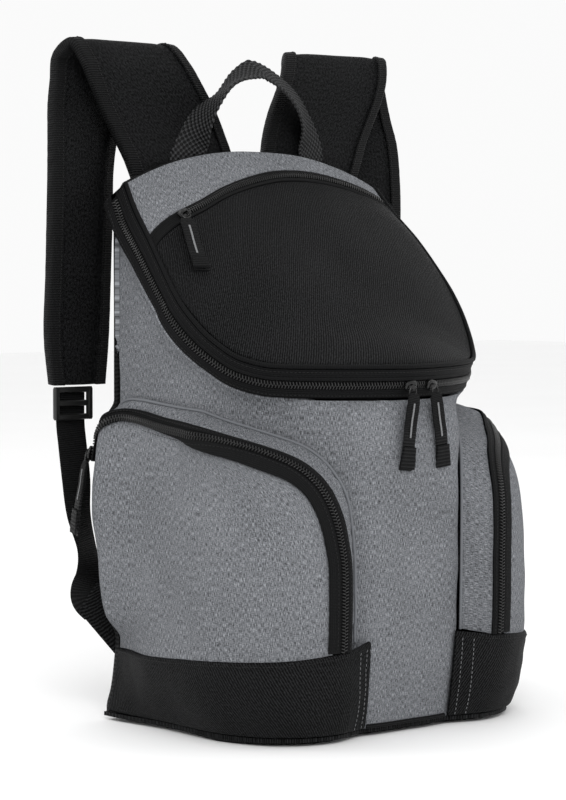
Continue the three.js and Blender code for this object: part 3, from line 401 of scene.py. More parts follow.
# Parameters from 0 to 1 with two more close to each end, for a rounded edge
def steps(count, length, edge=1.2):
    near = edge / length
    inside = [k / count for k in range(1, count) if near * 1.6 < k / count < 1 - near * 1.6]
    return [0, near * 0.25, near] + inside + [1 - near, 1 - near * 0.25, 1]


def roundShare(t, length, edge=1.2):
    distance = min(t, 1 - t) * length / edge
    return math.sqrt(max(0, 1 - (1 - hold(distance)) ** 2))


# Distances along the rows and the columns of a grid, in metres, as its UV map
def gridUvs(grid):
    rows, cols = len(grid), len(grid[0])
    middle = cols // 2
    along, uvs = 0, []
    for i in range(rows):
        if i:
            along += (grid[i][middle] - grid[i - 1][middle]).length
        up, line = 0, []
        for j in range(cols):
            if j:
                up += (grid[i][j] - grid[i][j - 1]).length
            line.append((along / 1000, up / 1000))
        uvs.append(line)
    return uvs


class Shell:
    def __init__(self):
        self.points, self.uvs, self.faces = [], [], []

    def add(self, point, uv=(0, 0)):
        self.points.append(point / 1000)
        self.uvs.append(uv)
        return len(self.points) - 1

    def patch(self, grid, uvs):
        return [[self.add(p, w) for p, w in zip(*pair)] for pair in zip(grid, uvs)]

    def quads(self, ids, closed=False):
        cols = len(ids[0])
        for i in range(len(ids) - 1):
            for j in range(cols if closed else cols - 1):
                k = (j + 1) % cols
                self.faces.append((ids[i][j], ids[i + 1][j], ids[i + 1][k], ids[i][k]))

    # Two grids joined along their four edges
    def slab(self, outer, inner, uvs):
        top, low = self.patch(outer, uvs), self.patch(inner, uvs)
        self.quads(top)
        self.quads(low)
        self.quads([top[0], low[0]])
        self.quads([top[-1], low[-1]])
        self.quads([[line[0] for line in top], [line[0] for line in low]])
        self.quads([[line[-1] for line in top], [line[-1] for line in low]])

    # Rings joined to a closed form
    def tube(self, rings, uvs=None):
        uvs = uvs or [[(0, 0)] * len(ring) for ring in rings]
        ids = self.patch(rings, uvs)
        self.quads(ids, True)
        self.faces.append(tuple(ids[0]))
        self.faces.append(tuple(ids[-1]))

    def make(self, name, finish, nodes=(), crease=60, padding=None):
        material, slot = finishes[finish]
        bm = bmesh.new()
        vertices = [bm.verts.new(p) for p in self.points]
        for face in self.faces:
            try:
                bm.faces.new([vertices[k] for k in face])
            except ValueError:
                continue
        bmesh.ops.recalc_face_normals(bm, faces=bm.faces)
        layer = bm.loops.layers.uv.new("UVMap")
        bm.verts.index_update()
        for face in bm.faces:
            face.smooth = True
            for loop in face.loops:
                loop[layer].uv = self.uvs[loop.vert.index]
        for edge in bm.edges:
            if len(edge.link_faces) == 2 and edge.calc_face_angle(0) > math.radians(crease):
                edge.smooth = False
        mesh = bpy.data.meshes.new(name)
        bm.to_mesh(mesh)
        bm.free()
        mesh.materials.append(material)
        made = bpy.data.objects.new(name, mesh)
        bpy.context.scene.collection.objects.link(made)
        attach(made, "root")
        if nodes:
            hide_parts(*nodes)
        return made


# A cloth over a surface; heights gives its outer and inner distance from the surface
def clothPiece(name, surface, iSteps, jSteps, heights, finish, nodes=(), **more):
    grid = [[surface(i, j) for j in jSteps] for i in iSteps]
    normals = gridNormals(grid)

    def offset(which):
        return [[inFront(p, p + normals[a][b] * heights(iSteps[a], jSteps[b])[which])
                 for b, p in enumerate(line)] for a, line in enumerate(grid)]

    shell = Shell()
    shell.slab(offset(0), offset(1), gridUvs(grid))
    return shell.make(name, finish, nodes, **more)


def evenly(count):
    return [k / count for k in range(count + 1)]


def ripple(point, size, seed):
    return noise.noise(Vector((point.x / size + seed, point.y / size, point.z / size)))


# Soft folds of the cloth, from rows of (size, place in the noise, height)
def folds(point, rows, seed=0):
    return sum(ripple(point, size, seed + shift) * height for size, shift, height in rows)


# Points and outward directions along a path, at even distances
def walkPath(points, normals, spacing):
    total = [0]
    for a, b in zip(points, points[1:]):
        total.append(total[-1] + (b - a).length)
    count = max(2, int(total[-1] / spacing))
    found, k = [], 0
    for n in range(count + 1):
        distance = total[-1] * n / count
        while k < len(total) - 2 and total[k + 1] < distance:
            k += 1
        t = (distance - total[k]) / max(1e-9, total[k + 1] - total[k])
        way = (points[k + 1] - points[k]).normalized()
        found.append((points[k].lerp(points[k + 1], t), way, normals[k].lerp(normals[k + 1], t).normalized()))
    return found


stitch = {"length": 2.6, "pitch": 3.7, "radius": 0.32, "small": 0.8, "smallPitch": 3.1,
          "pale": 0.9, "palePitch": 3.6, "strap": 0.85, "strapPitch": 3.4}


def stitches(shell, points, normals, size=1.0, pitch=None):
    spots = walkPath(points, normals, pitch or stitch["pitch"])
    radius = stitch["radius"] * size
    for at, way, out in spots[:-1]:
        side = out.cross(way).normalized()
        rings = []
        for share, fat, lift in ((-0.5, 0.3, -0.4), (-0.32, 1, 0.6), (0.32, 1, 0.6), (0.5, 0.3, -0.4)):
            centre = at + way * (share * stitch["length"] * size) + out * (lift * radius)
            rings.append([centre + side * (math.cos(a) * radius * fat) + out * (math.sin(a) * radius * fat)
                          for a in (0.5, 1.57, 2.64, 3.9, 5.5)])
        shell.tube(rings)


def roundWire(shell, points, radius, sides=8):
    rings = []
    for k, p in enumerate(points):
        way = (points[min(k + 1, len(points) - 1)] - points[max(k - 1, 0)]).normalized()
        across = way.cross(Vector((0.31, 0.85, 0.42))).normalized()
        up = across.cross(way)
        angles = [2 * math.pi * n / sides for n in range(sides)]
        rings.append([p + across * math.cos(a) * radius + up * math.sin(a) * radius for a in angles])
    shell.tube(rings)


# Coil zip: two rows of bent teeth along a path
tooth = {"pitch": 2.4, "reach": 3.0, "height": 1.6, "thick": 0.95, "taper": 0.7, "lean": 0.8}


def coilTeeth(name, points, normals, node):
    shell = Shell()
    spots = walkPath(points, normals, tooth["pitch"])
    for n, (at, way, out) in enumerate(spots[1:-1]):
        across = out.cross(way).normalized()
        for side in (-1, 1):
            start = at + way * (0 if side > 0 else tooth["pitch"] / 2)
            rings = []
            for reach, lift, along in ((1, 0.05, 0), (0.9, 0.7, 0.1), (0.5, 1, 0.55), (-0.06, 0.86, 1)):
                centre = start + across * (side * reach * tooth["reach"]) + way * (along * tooth["lean"])
                half = way * (tooth["thick"] / 2)
                low, high = [centre + out * share * tooth["height"] for share in (lift - 0.5, lift)]
                slim = half * tooth["taper"]
                rings.append([low - half, low + half, high + slim, high - slim])
            shell.tube(rings)
    return shell.make(name, "zipCoil", (node,), crease=50)


def pathOn(surface, count, lift=0.0):
    grid = [[surface(i, j) for j in (-0.02, 0.0, 0.02)] for i in evenly(count)]
    normals = gridNormals(grid)
    points = [line[1] + normals[k][1] * lift for k, line in enumerate(grid)]
    return points, [line[1] for line in normals]


# Compartment: a U in plan, open at the back
compartment = {
    "halfWidth": 138, "frontY": -92, "wall": 5, "flare": 7, "footShare": 0.955, "leanLimit": 0.28,
    "plan": [(0, 1), (0.33, 0.965), (0.45, 0.8), (0.6, 0.52), (0.76, 0.22), (0.9, -0.09), (0.975, -0.42),
             (1, -0.75), (1, -1.0526)],
    "profile": [(0, 0.9), (0.12, 0.96), (0.27, 1), (0.7, 1), (1, 0.97)],
    "footZ": 6.2, "folds": [(66, 3, 2.4), (27, 8, 0.8), (12, 9, 0.2)], "pucker": [(9, 1, 0.42)],
}
rim = {
    "backHalf": 130, "wideHalf": 142, "wideY": 20, "frontY": -92, "roundness": 1.72, "frontZ": 279.5,
    "backZ": 420, "noseShare": 0.55,
    "rise": [(0, 1), (0.09, 0.857), (0.22, 0.69), (0.365, 0.473), (0.48, 0.295), (0.6, 0.132), (0.69, 0.046),
             (0.78, 0.011), (1, 0)],
}
lidBand = {
    "width": 25, "coilAt": 14.5, "earGrowth": 0.14,
    "lean": [(0, 0.84), (0.13, 0.55), (0.32, 0.28), (0.5, 0), (0.64, -0.3), (1, -0.25)],
    "relief": [(0, 0.6), (0.05, 1.5), (0.3, 1.6), (0.34, 1.1), (0.4, 1.9), (0.44, 2.1), (0.465, 0.9),
               (0.69, 0.9), (0.715, 2.1), (0.76, 1.9), (0.96, 1.5), (1, 0.5)],
    "seams": [(4.4, 0.5), (22.6, 0.55)], "pucker": [(5, 4, 0.12)],
}


def arcShare(turn, roundness):
    across = math.sin(turn * math.pi / 2) ** (2 / roundness)
    ahead = max(0, math.cos(turn * math.pi / 2)) ** (2 / roundness)
    return across, ahead


def rimHeight(y):
    share = hold((backY - y) / (backY - rim["frontY"]))
    return lerp(rim["frontZ"], rim["backZ"], lookUp(rim["rise"], share))


def rimPoint(u):
    part, side = abs(u), math.copysign(1, u)
    if part <= rim["noseShare"]:
        across, ahead = arcShare(part / rim["noseShare"], rim["roundness"])
        y = lerp(rim["wideY"], rim["frontY"], ahead)
        return Vector((side * rim["wideHalf"] * across, y, rimHeight(y)))
    back = (part - rim["noseShare"]) / (1 - rim["noseShare"])
    y = lerp(rim["wideY"], backY, back)
    return Vector((side * lerp(rim["wideHalf"], rim["backHalf"], back ** 1.5), y, rimHeight(y)))


def rimFrame(u):
    along = (rimPoint(min(1, u + 0.004)) - rimPoint(max(-1, u - 0.004))).normalized()
    out = Vector((along.y, -along.x, 0)).normalized()
    return along, out


def bandPoint(u, down, leanLimit=1):
    point = rimPoint(u)
    along, out = rimFrame(u)
    fall = out.cross(along).normalized()
    if fall.z > 0:
        fall = -fall
    behind = (backY - point.y) / (backY - rim["frontY"])
    fall.y *= ease(behind / 0.2)
    fall.normalize()
    lean = min(leanLimit, lookUp(lidBand["lean"], behind))
    down *= 1 + lidBand["earGrowth"] * ease(1 - behind / 0.15)
    way = fall * math.sqrt(1 - lean * lean) + out * lean
    return inFront(point, point + way * down)


planHalf = [Vector((a * compartment["halfWidth"], b * compartment["frontY"], 0))
            for a, b in compartment["plan"]]
planCurve = Line([(-p.x, p.y, 0) for p in reversed(planHalf[1:])] + planHalf)


def planPoint(turn, share):
    point = planCurve.at(hold((turn + 1) / 2))
    point.x *= lerp(compartment["footShare"], 1, ease(share / 0.5))
    if point.y < 0:
        point.y *= lookUp(compartment["profile"], share)
    point.y = min(point.y, backY)
    return point


planSamples = [(k / 200 - 1, planPoint(k / 200 - 1, 1)) for k in range(401)]


def planTurn(point):
    return min(planSamples, key=lambda row: math.hypot(row[1].x - point.x, row[1].y - point.y))[0]


def bodyTop(u):
    top = bandPoint(u, lidBand["width"] + 5 * gap, compartment["leanLimit"])
    top.y = min(top.y, backY)
    return top


turnRows = [(2 * k / 32 - 1, planTurn(bodyTop(2 * k / 32 - 1))) for k in range(33)]


def bodySurface(u, share):
    top = bodyTop(u)
    z = lerp(compartment["footZ"] + gap, top.z, share)
    plan = planPoint(lookUp(turnRows, u), z / rim["frontZ"])
    pulled = math.exp((z - top.z) / compartment["flare"])
    return Vector((lerp(plan.x, top.x, pulled), lerp(plan.y, top.y, pulled), z))


def makeBody():
    def surface(i, j):
        return bodySurface(2 * i - 1, j)

    def heights(i, j):
        point = surface(i, j)
        held = min(1, j * 12) * min(1, (1 - j) * 14) * min(1, (0.5 - abs(i - 0.5)) * 30)
        soft = folds(point, compartment["folds"]) * held
        pucker = math.exp(-(1 - j) * 26) * folds(point, compartment["pucker"])
        return soft + pucker - 0.2, -compartment["wall"]

    ups = [1 - (1 - k / 84) ** 1.35 for k in range(85)]
    clothPiece("bodyShell", surface, evenly(200), ups, heights, "greyCloth", ("body_shell",), padding=0.5)


# Lid: t runs across from -1 to 1, v runs forwards from 0 at the back panel to 1 at the rim
lid = {
    "crown": 27.5, "belly": 14, "sideRoundness": 2.3, "frontRoundness": 4, "thick": 3, "tape": 9,
    "zip": [(-1, 0.545), (-0.82, 0.573), (-0.6, 0.61), (-0.39, 0.691), (-0.165, 0.761), (0.07, 0.814),
            (0.3, 0.835), (0.6, 0.845), (1, 0.87)],
    "inset": 1.6, "coilFrom": -0.73, "coilTo": 0.93,
    "backFolds": [(40, 2, 0.9)], "frontFolds": [(55, 5, 1), (20, 6, 0.2)],
    "relief": [(0, 0.3), (0.1, 1), (0.22, 1.1), (0.3, 0.2), (0.7, 0.2), (0.78, 1.1), (0.9, 1), (1, 0.3)],
}
piping = {"radius": 1.8, "sides": 12}


def lidPoint(t, v):
    part = abs(t)
    across, ahead = arcShare(part, rim["roundness"])
    frontX, frontY = rim["wideHalf"] * across, lerp(rim["wideY"], rim["frontY"], ahead)
    bow = (rim["wideHalf"] - rim["backHalf"]) * (v - v * v) * part
    y = lerp(backY, frontY, v)
    crown = lid["crown"] + lid["belly"] * v
    rise = crown * (1 - part ** lid["sideRoundness"]) * (1 - v ** lid["frontRoundness"])
    x = lerp(part * rim["backHalf"], frontX, v) + bow
    return Vector((math.copysign(x, t), y, rimHeight(y) + rise))


def lidCloth(t, v):
    point = lidPoint(t, v)
    point.x *= 1 - lid["inset"] / rim["wideHalf"]
    return point


def lidDepth(t):
    return backY - lidPoint(t, 1).y


def lidZipShare(t):
    return (backY - lookUp(lid["zip"], t) * backY) / lidDepth(t)


def lidStrip(t, distance):
    return lidCloth(t, max(0, lidZipShare(t) + distance / lidDepth(t)))


def makeLid():
    half = lid["tape"] / 2

    def back(i, j):
        t = 2 * i - 1
        return lidCloth(t, (lidZipShare(t) - (half + gap) / lidDepth(t)) * j)

    def front(i, j):
        t = 2 * i - 1
        start = lidZipShare(t) + (half + gap) / lidDepth(t)
        return lidCloth(t, lerp(start, 1 - lid["inset"] / lidDepth(t), j))

    def backHeights(i, j):
        point = back(i, j)
        edge = roundShare(i, 250, 5) * roundShare(j, 60, 3)
        return (folds(point, lid["backFolds"]) + 0.3) * edge - 0.4 * (1 - edge), -lid["thick"]

    def frontHeights(i, j):
        point = front(i, j)
        edge = roundShare(i, 260, 6) * roundShare(j, 170, 4)
        return (folds(point, lid["frontFolds"]) + 0.5) * edge - 0.8 * (1 - edge), -lid["thick"]

    clothPiece("lidBackPanel", back, evenly(120), steps(24, 60), backHeights, "greyCloth",
               ("lid_back_panel",), padding=0.5)
    clothPiece("lidFrontPanel", front, evenly(130), steps(70, 170), frontHeights, "blackTwill",
               ("lid_front_panel",), padding=0.5)

    def tape(i, j):
        return lidStrip(2 * i - 1, lerp(-half, half, j))

    def tapeHeights(i, j):
        return lookUp(lid["relief"], j) - 0.1, -1.2

    across = [0, 0.05, 0.1, 0.2, 0.25, 0.3, 0.5, 0.7, 0.75, 0.8, 0.9, 0.95, 1]
    clothPiece("lidPocketZipTape", tape, evenly(120), across, tapeHeights, "blackCloth",
               ("lid_pocket_zip_tape",))

    def centre(i, j):
        return lidStrip(lerp(lid["coilFrom"], lid["coilTo"], i), j * 10)

    points, normals = pathOn(centre, 160, 0.3)
    coilTeeth("lidPocketZipChain", points, normals, "lid_pocket_zip_chain")
    print("lid made")


def makePiping():
    shell = Shell()
    rows, sides, radius = 260, piping["sides"], piping["radius"]
    rings, uvs, along = [], [], 0
    for k in range(rows + 1):
        u = 2 * k / rows - 1
        centre = rimPoint(u)
        way, out = rimFrame(u)
        up = out.cross(way).normalized()
        if rings:
            along += (centre - before).length
        before = centre
        ring = [inFront(centre, centre + out * radius * math.cos(2 * math.pi * n / sides)
                        + up * radius * math.sin(2 * math.pi * n / sides)) for n in range(sides)]
        rings.append(ring)
        uvs.append([(abs(n - sides / 2) * 0.0009, along / 1000) for n in range(sides)])
    shell.tube(rings, uvs)
    shell.make("lidPiping", "blackCloth", ("lid_piping",))


def makeLidBand():
    start, width = piping["radius"] + 2 * gap, lidBand["width"]

    def tape(i, j):
        return bandPoint(2 * i - 1, lerp(start, width, j))

    def heights(i, j):
        share = lerp(start, width, j) / width
        return lookUp(lidBand["relief"], share) - 1.1 + folds(tape(i, j), lidBand["pucker"]), -1.6

    across = sorted(set([k / 30 for k in range(31)] + [0.42, 0.47, 0.49, 0.66, 0.69, 0.72]))
    clothPiece("lidZipTape", tape, evenly(280), across, heights, "blackCloth", ("lid_zip_tape",))

    def centre(i, j):
        return bandPoint((2 * i - 1) * 0.985, lidBand["coilAt"] + j * 10)

    points, normals = pathOn(centre, 360, 0.35)
    coilTeeth("lidZipChain", points, normals, "lid_zip_chain")

    seam = Shell()
    for distance, lift in lidBand["seams"]:
        points, normals = pathOn(lambda i, j: bandPoint(2 * i - 1, distance + j * 10), 300, lift)
        stitches(seam, points, normals, stitch["small"], stitch["smallPitch"])
    seam.make("lidBandStitches", "blackThread")
    print("zip band made")


# Side pockets
pocket = {
    "halfWidth": 157, "height": 250, "cornerY": -5, "frontY": -100, "endX": 72, "roundness": 2.25,
    "sideShare": 0.52, "cinchLength": 70, "humpAt": 9, "wall": 2, "seamRise": 8, "gussetX": 43,
    # height, side, back, front and hump
    "bulge": [
        (0, 0.895, 0.945, 0.9, 0), (0.05, 0.925, 0.93, 0.935, 0), (0.1, 0.965, 0.905, 0.975, 0),
        (0.18, 0.995, 0.885, 1, 0), (0.25, 1, 0.875, 1.015, 0.01), (0.34, 1, 0.93, 1.03, 0.06),
        (0.45, 0.997, 0.955, 1.035, 0.08), (0.54, 0.99, 0.975, 1.033, 0.076),
        (0.62, 0.985, 0.99, 1.015, 0.076), (0.68, 0.98, 0.997, 0.99, 0.076), (0.74, 0.975, 1, 0.94, 0.076),
        (0.8, 0.97, 0.99, 0.85, 0.08), (0.86, 0.965, 0.97, 0.7, 0.082), (0.92, 0.955, 0.945, 0.4, 0.084),
        (0.96, 0.935, 0.92, 0.2, 0.08), (1, 0.9, 0.88, 0.07, 0.04),
    ],
    "zip": [(0, 0.812), (0.003, 0.9), (0.03, 0.955), (0.092, 0.977), (0.176, 0.979), (0.375, 0.962),
            (0.642, 0.939), (0.778, 0.908), (0.863, 0.877), (0.922, 0.845), (0.962, 0.79), (0.988, 0.68),
            (0.995, 0.605), (1, 0.528), (1, 0.4)],
    "tape": 22, "coilAt": 8.5, "seam": 5, "cornerT": 0.62, "backTop": 0.765,
    "stitchesAt": 2.6, "innerStitchesAt": 14.6,
    "tapeShare": [(0, 0.56), (0.1, 0.52), (0.2, 0.5), (0.3, 0.55), (0.35, 0.6), (0.4, 0.69), (0.45, 0.78),
                  (0.5, 0.9), (0.55, 1.03), (0.6, 1.12), (0.68, 1.05), (0.75, 1), (1, 1)],
    "folds": [(52, 0, 2.4), (22, 3, 0.7)], "pucker": [(7, 0, 0.45)], "gussetFolds": [(26, 5, 1)],
    "tapePucker": [(6, 0, 0.12)],
    "relief": [(0, 0.5), (0.05, 1.2), (0.2, 1.3), (0.235, 1.2), (0.25, 0.3), (0.52, 0.3), (0.535, 1.2),
               (0.58, 1.3), (0.92, 1.2), (1, 0.4)],
}
footBase = {
    "thick": 2.4, "proud": 0.8, "height": 70, "innerRise": 4, "footZ": 7.1,
    "wrapShare": 0.87, "foldWidth": 0.006,
    "top": [(0, 0.8), (0.44, 0.855), (0.64, 0.905), (0.84, 0.94), (1, 1)],
    "hem": [(0, -0.5), (0.02, 0.5), (0.1, 0.8), (0.88, 0.8), (0.905, 0.5), (0.925, 1.0), (0.97, 1.1),
            (0.99, 0.7), (1, 0)],
    "folds": [(36, 2, 1.9), (15, 7, 0.7)], "paleSeams": (0.937, 0.977), "hemSeam": 0.955,
}
bulgeKept = {}


def bulgeAt(z):
    key = round(z, 2)
    if key not in bulgeKept:
        bulgeKept[key] = [lookUp(pocket["bulge"], z / pocket["height"], column) for column in (1, 2, 3, 4)]
    return bulgeKept[key]


def pocketPoint(a, z):
    side, back, front, hump = bulgeAt(z)
    sideX, backX, frontY = pocket["halfWidth"] * side, pocket["halfWidth"] * back, pocket["frontY"] * front
    if a < pocket["sideShare"]:
        y = lerp(backY, pocket["cornerY"], a / pocket["sideShare"])
        depth = backY - y
        away = ease(depth / pocket["cinchLength"])
        near = depth / pocket["humpAt"]
        swell = pocket["halfWidth"] * hump * near * math.exp(1 - near)
        return Vector((-lerp(backX, sideX, away) - swell, y, z))
    turn = hold((a - pocket["sideShare"]) / (1 - pocket["sideShare"]))
    across, ahead = arcShare(1 - turn, pocket["roundness"])
    return Vector((-lerp(pocket["endX"], sideX, across), lerp(pocket["cornerY"], frontY, ahead), z))


zipFoot = footBase["height"] + gap
zipCurve = Line([(a, h, 0) for a, h in pocket["zip"]] + [(1, zipFoot / pocket["height"], 0)])
zipLengths = [0.0]
for step in range(400):
    zipLengths.append(zipLengths[-1] + (zipCurve.at((step + 1) / 400) - zipCurve.at(step / 400)).length)


def zipEdge(t):
    goal = hold(t) * zipLengths[-1]
    low, high = 0, 400
    while high - low > 1:
        middle = (low + high) // 2
        low, high = (middle, high) if zipLengths[middle] <= goal else (low, middle)
    part = (goal - zipLengths[low]) / max(1e-9, zipLengths[high] - zipLengths[low])
    point = zipCurve.at((low + part) / 400)
    return hold(point.x), point.y * pocket["height"]


def onSheet(spot):
    return pocketPoint(spot[0], spot[1])


def sheetSlopes(share, z):
    start = min(share, 0.996)
    here = pocketPoint(start, z)
    return (pocketPoint(start + 0.004, z) - here) / 0.004, (pocketPoint(start, z + 0.5) - here) / 0.5


def walkOver(spot, direction, distance):
    count = max(1, math.ceil(distance / 4))
    length = distance / count
    share, z = spot
    for _ in range(count):
        along, up = sheetSlopes(share, z)
        normal = along.cross(up).normalized()
        direction = (direction - normal * direction.dot(normal)).normalized()
        ee, ff, gg = along.dot(along), along.dot(up), up.dot(up)
        p, q = along.dot(direction), up.dot(direction)
        area = ee * gg - ff * ff
        share = hold(share + length * (p * gg - q * ff) / area)
        z += length * (q * ee - p * ff) / area
    return share, z


def zipPoint(t, inset):
    spot = zipEdge(t)
    if inset == 0:
        return spot
    along = onSheet(zipEdge(t + 0.004)) - onSheet(zipEdge(t - 0.004))
    forward, up = sheetSlopes(*spot)
    inward = forward.cross(up).cross(along).normalized()
    if inward.dot(pocketPoint(pocket["sideShare"], pocket["height"] / 2) - onSheet(spot)) < 0:
        inward = -inward
    share, z = walkOver(spot, inward, abs(inset))
    return share, max(z, zipFoot)


def tapeWide(t):
    return pocket["tape"] * lookUp(pocket["tapeShare"], t)


def baseHeight(a):
    return footBase["height"] * lookUp(footBase["top"], a)


gussetTurn = -next(turn for turn, at in planSamples if at.x > pocket["gussetX"])


def beside(turn, z, distance):
    share = z / rim["frontZ"]
    here = planPoint(turn, share)
    along = planPoint(min(turn + 0.01, 1), share) - planPoint(max(turn - 0.01, -1), share)
    out = Vector((along.y, -along.x, 0)).normalized()
    return Vector((here.x + out.x * distance, here.y + out.y * distance, z))


def seamPoint(t):
    edge = onSheet(zipEdge(t))
    turn = min(gussetTurn, planTurn(edge))
    z = lerp(edge.z + pocket["seamRise"], edge.z + footBase["innerRise"], ease((t - 0.7) / 0.3))
    return beside(turn, z, pocket["wall"] + 4 * gap)


# Points with what jumps between neighbours evened out, ends kept
def evened(points, passes=12):
    for _ in range(passes):
        inside = [(a + b * 2 + c) / 4 for a, b, c in zip(points, points[1:], points[2:])]
        points = [points[0]] + inside + [points[-1]]
    return points


def evenedRows(grid):
    return [list(row) for row in zip(*[evened(column) for column in zip(*grid)])]


def pocketPatch(iSteps, jSteps):
    cornerT, backTop = pocket["cornerT"], pocket["backTop"]

    def inset(t):
        return tapeWide(t) - pocket["seam"]

    def flat(spot):
        return Vector((spot[0], spot[1] / pocket["height"]))

    foot = zipPoint(1, inset(1))[0]
    low = [Vector((i * foot, (baseHeight(i * foot) + gap) / pocket["height"])) for i in iSteps]
    backCorner = Vector((0, backTop))
    high = [backCorner.lerp(flat(zipPoint(cornerT * i, inset(cornerT * i))), ease(i / 0.07)) for i in iSteps]
    left = [Vector((0, lerp(low[0].y, high[0].y, j))) for j in jSteps]
    right = [flat(zipPoint(lerp(1, cornerT, j), inset(lerp(1, cornerT, j)))) for j in jSteps]
    high = high[:16] + evened(high[16:], 4)
    grid = []
    for a, i in enumerate(iSteps):
        line = []
        for b, j in enumerate(jSteps):
            corners = left[0].lerp(right[0], i).lerp(left[-1].lerp(right[-1], i), j)
            spot = left[b].lerp(right[b], i) + low[a].lerp(high[a], j) - corners
            line.append(pocketPoint(hold(spot.x), spot.y * pocket["height"]))
        grid.append(line)
    return grid


# A cloth from a ready grid of points, mirrored to the side it is on
def gridPiece(name, grid, side, heights, finish, nodes=(), **more):
    normals = gridNormals(grid)
    uvs = gridUvs(grid)

    def offset(which):
        return [flip([inFront(p, p + normals[a][b] * heights(a, b, p)[which])
                      for b, p in enumerate(line)], side)
                for a, line in enumerate(grid)]

    shell = Shell()
    shell.slab(offset(0), offset(1), uvs)
    return shell.make(name, finish, nodes, **more)


def flip(points, side):
    return [Vector((-side * p.x, p.y, p.z)) for p in points]


def makePocket(name, side):
    iSteps, jSteps = evenly(130), evenly(70)
    seed = 11.0 if side > 0 else 23.0

    def panelHeights(a, b, p):
        i, j = iSteps[a], jSteps[b]
        edge = hold(min(i * 20, (1 - i) * 9, (1 - j) * 9, j * 16))
        pucker = (1 - hold(min(1 - i, 1 - j) * 7)) * folds(p, pocket["pucker"], seed)
        return folds(p, pocket["folds"], seed) * ease(edge) + pucker - 0.9, -0.9 - pocket["wall"]

    gridPiece(f"{name}Pocket", pocketPatch(iSteps, jSteps), side, panelHeights, "greyCloth",
              (f"{name}_side_pocket",), padding=0.4)

    gussetRows = [lerp(0.016, 1, k / 160) for k in range(161)]
    gusset = [[onSheet(zipEdge(t)).lerp(seamPoint(t), j) for j in evenly(12)] for t in gussetRows]

    def gussetHeights(a, b, p):
        j = b / 12
        swell = 4 * j * (1 - j)
        return -1.2 + swell * (folds(p, pocket["gussetFolds"], seed) + 0.3), -1.2 - pocket["wall"]

    gridPiece(f"{name}Gusset", gusset, side, gussetHeights, "greyCloth", (f"{name}_pocket_gusset",))
    edge = Shell()
    seamLine = flip(evened([seamPoint(t) - Vector((0, 0, gap)) for t in evenly(200)]), side)
    roundWire(edge, seamLine, 1.2)
    edge.make(f"{name}GussetSeam", "greyCloth")

    tRows = evenly(240)
    shares = sorted(set([k / 22 for k in range(23)] + [0.22, 0.245, 0.52, 0.54]))
    tape = evenedRows([[onSheet(zipPoint(t, tapeWide(t) * j)) for j in shares] for t in tRows])

    def tapeHeights(a, b, p):
        return lookUp(pocket["relief"], shares[b]) + 0.55 + folds(p, pocket["tapePucker"], seed), 0.6

    gridPiece(f"{name}PocketZipTape", tape, side, tapeHeights, "blackCloth", (f"{name}_pocket_zip_tape",))

    def zipLine(inset, lift, start=0.0):
        grid = evenedRows([[onSheet(zipPoint(lerp(start, 1, n / 200), inset + k)) for k in (-0.3, 0, 0.3)]
                           for n in range(201)])
        normals = gridNormals(grid)
        points = [line[1] + normals[k][1] * lift for k, line in enumerate(grid)]
        return flip(points, side), flip([line[1] for line in normals], side)

    coilTeeth(f"{name}PocketZipChain", *zipLine(pocket["coilAt"], 1.3), f"{name}_pocket_zip_chain")
    seam = Shell()
    stitches(seam, *zipLine(pocket["stitchesAt"], 1.75), stitch["small"], stitch["smallPitch"])
    stitches(seam, *zipLine(pocket["innerStitchesAt"], 1.8, 0.24), stitch["small"], stitch["smallPitch"])
    seam.make(f"{name}PocketStitches", "blackThread")
    makeBase(name, side, seed)
    print(name, "pocket made")


def basePoint(i, j):
    wrap, low = footBase["wrapShare"], footBase["footZ"]
    if i <= wrap:
        a = i / wrap
        return pocketPoint(a, lerp(low, baseHeight(a), j))
    inward = (i - wrap) / (1 - wrap)
    z = lerp(low, baseHeight(1) + footBase["innerRise"] * inward, j)
    seam = beside(gussetTurn, z, footBase["thick"] + gap)
    return pocketPoint(1, z).lerp(seam, inward)


def nearest(values, goal):
    return min(range(len(values)), key=lambda k: abs(values[k] - goal))


def makeBase(name, side, seed):
    iSteps = evenly(170)
    jSteps = [0, 0.01, 0.03] + [k / 34 for k in range(2, 31)] + [0.9, 0.92, 0.935, 0.95, 0.97, 0.985, 1]
    grid = [[basePoint(i, j) for j in jSteps] for i in iSteps]

    def heights(a, b, p):
        fold = math.exp(-((iSteps[a] - footBase["wrapShare"]) / footBase["foldWidth"]) ** 2) * -0.54
        edge = hold(min(iSteps[a] * 30, (1 - iSteps[a]) * 30, jSteps[b] * 9, (1 - jSteps[b]) * 14))
        soft = folds(p, footBase["folds"], seed) * edge
        return lookUp(footBase["hem"], jSteps[b]) + soft + fold, footBase["proud"] - footBase["thick"]

    gridPiece(f"{name}Base", grid, side, heights, "blackTwill", (f"{name}_base",))
    normals = gridNormals(grid)
    seam, pale = Shell(), Shell()
    # Double row of light stitches where the base turns in to the compartment
    for i in footBase["paleSeams"]:
        column = nearest(iSteps, i)
        points = [line + normals[column][b] * (heights(column, b, line)[0] + 0.15)
                  for b, line in enumerate(grid[column]) if 0.02 < jSteps[b] < 0.985]
        paleNormals = flip(normals[column][:len(points)], side)
        stitches(pale, flip(points, side), paleNormals, stitch["pale"], stitch["palePitch"])
    pale.make(f"{name}BaseStitches", "paleThread")
    row, inside = nearest(jSteps, footBase["hemSeam"]), range(2, 166)
    points = [grid[a][row] + normals[a][row] * (heights(a, row, grid[a][row])[0] + 0.1) for a in inside]
    hemNormals = flip([normals[a][row] for a in inside], side)
    stitches(seam, flip(points, side), hemNormals, stitch["small"], stitch["smallPitch"])
    seam.make(f"{name}BaseHemStitches", "blackThread")


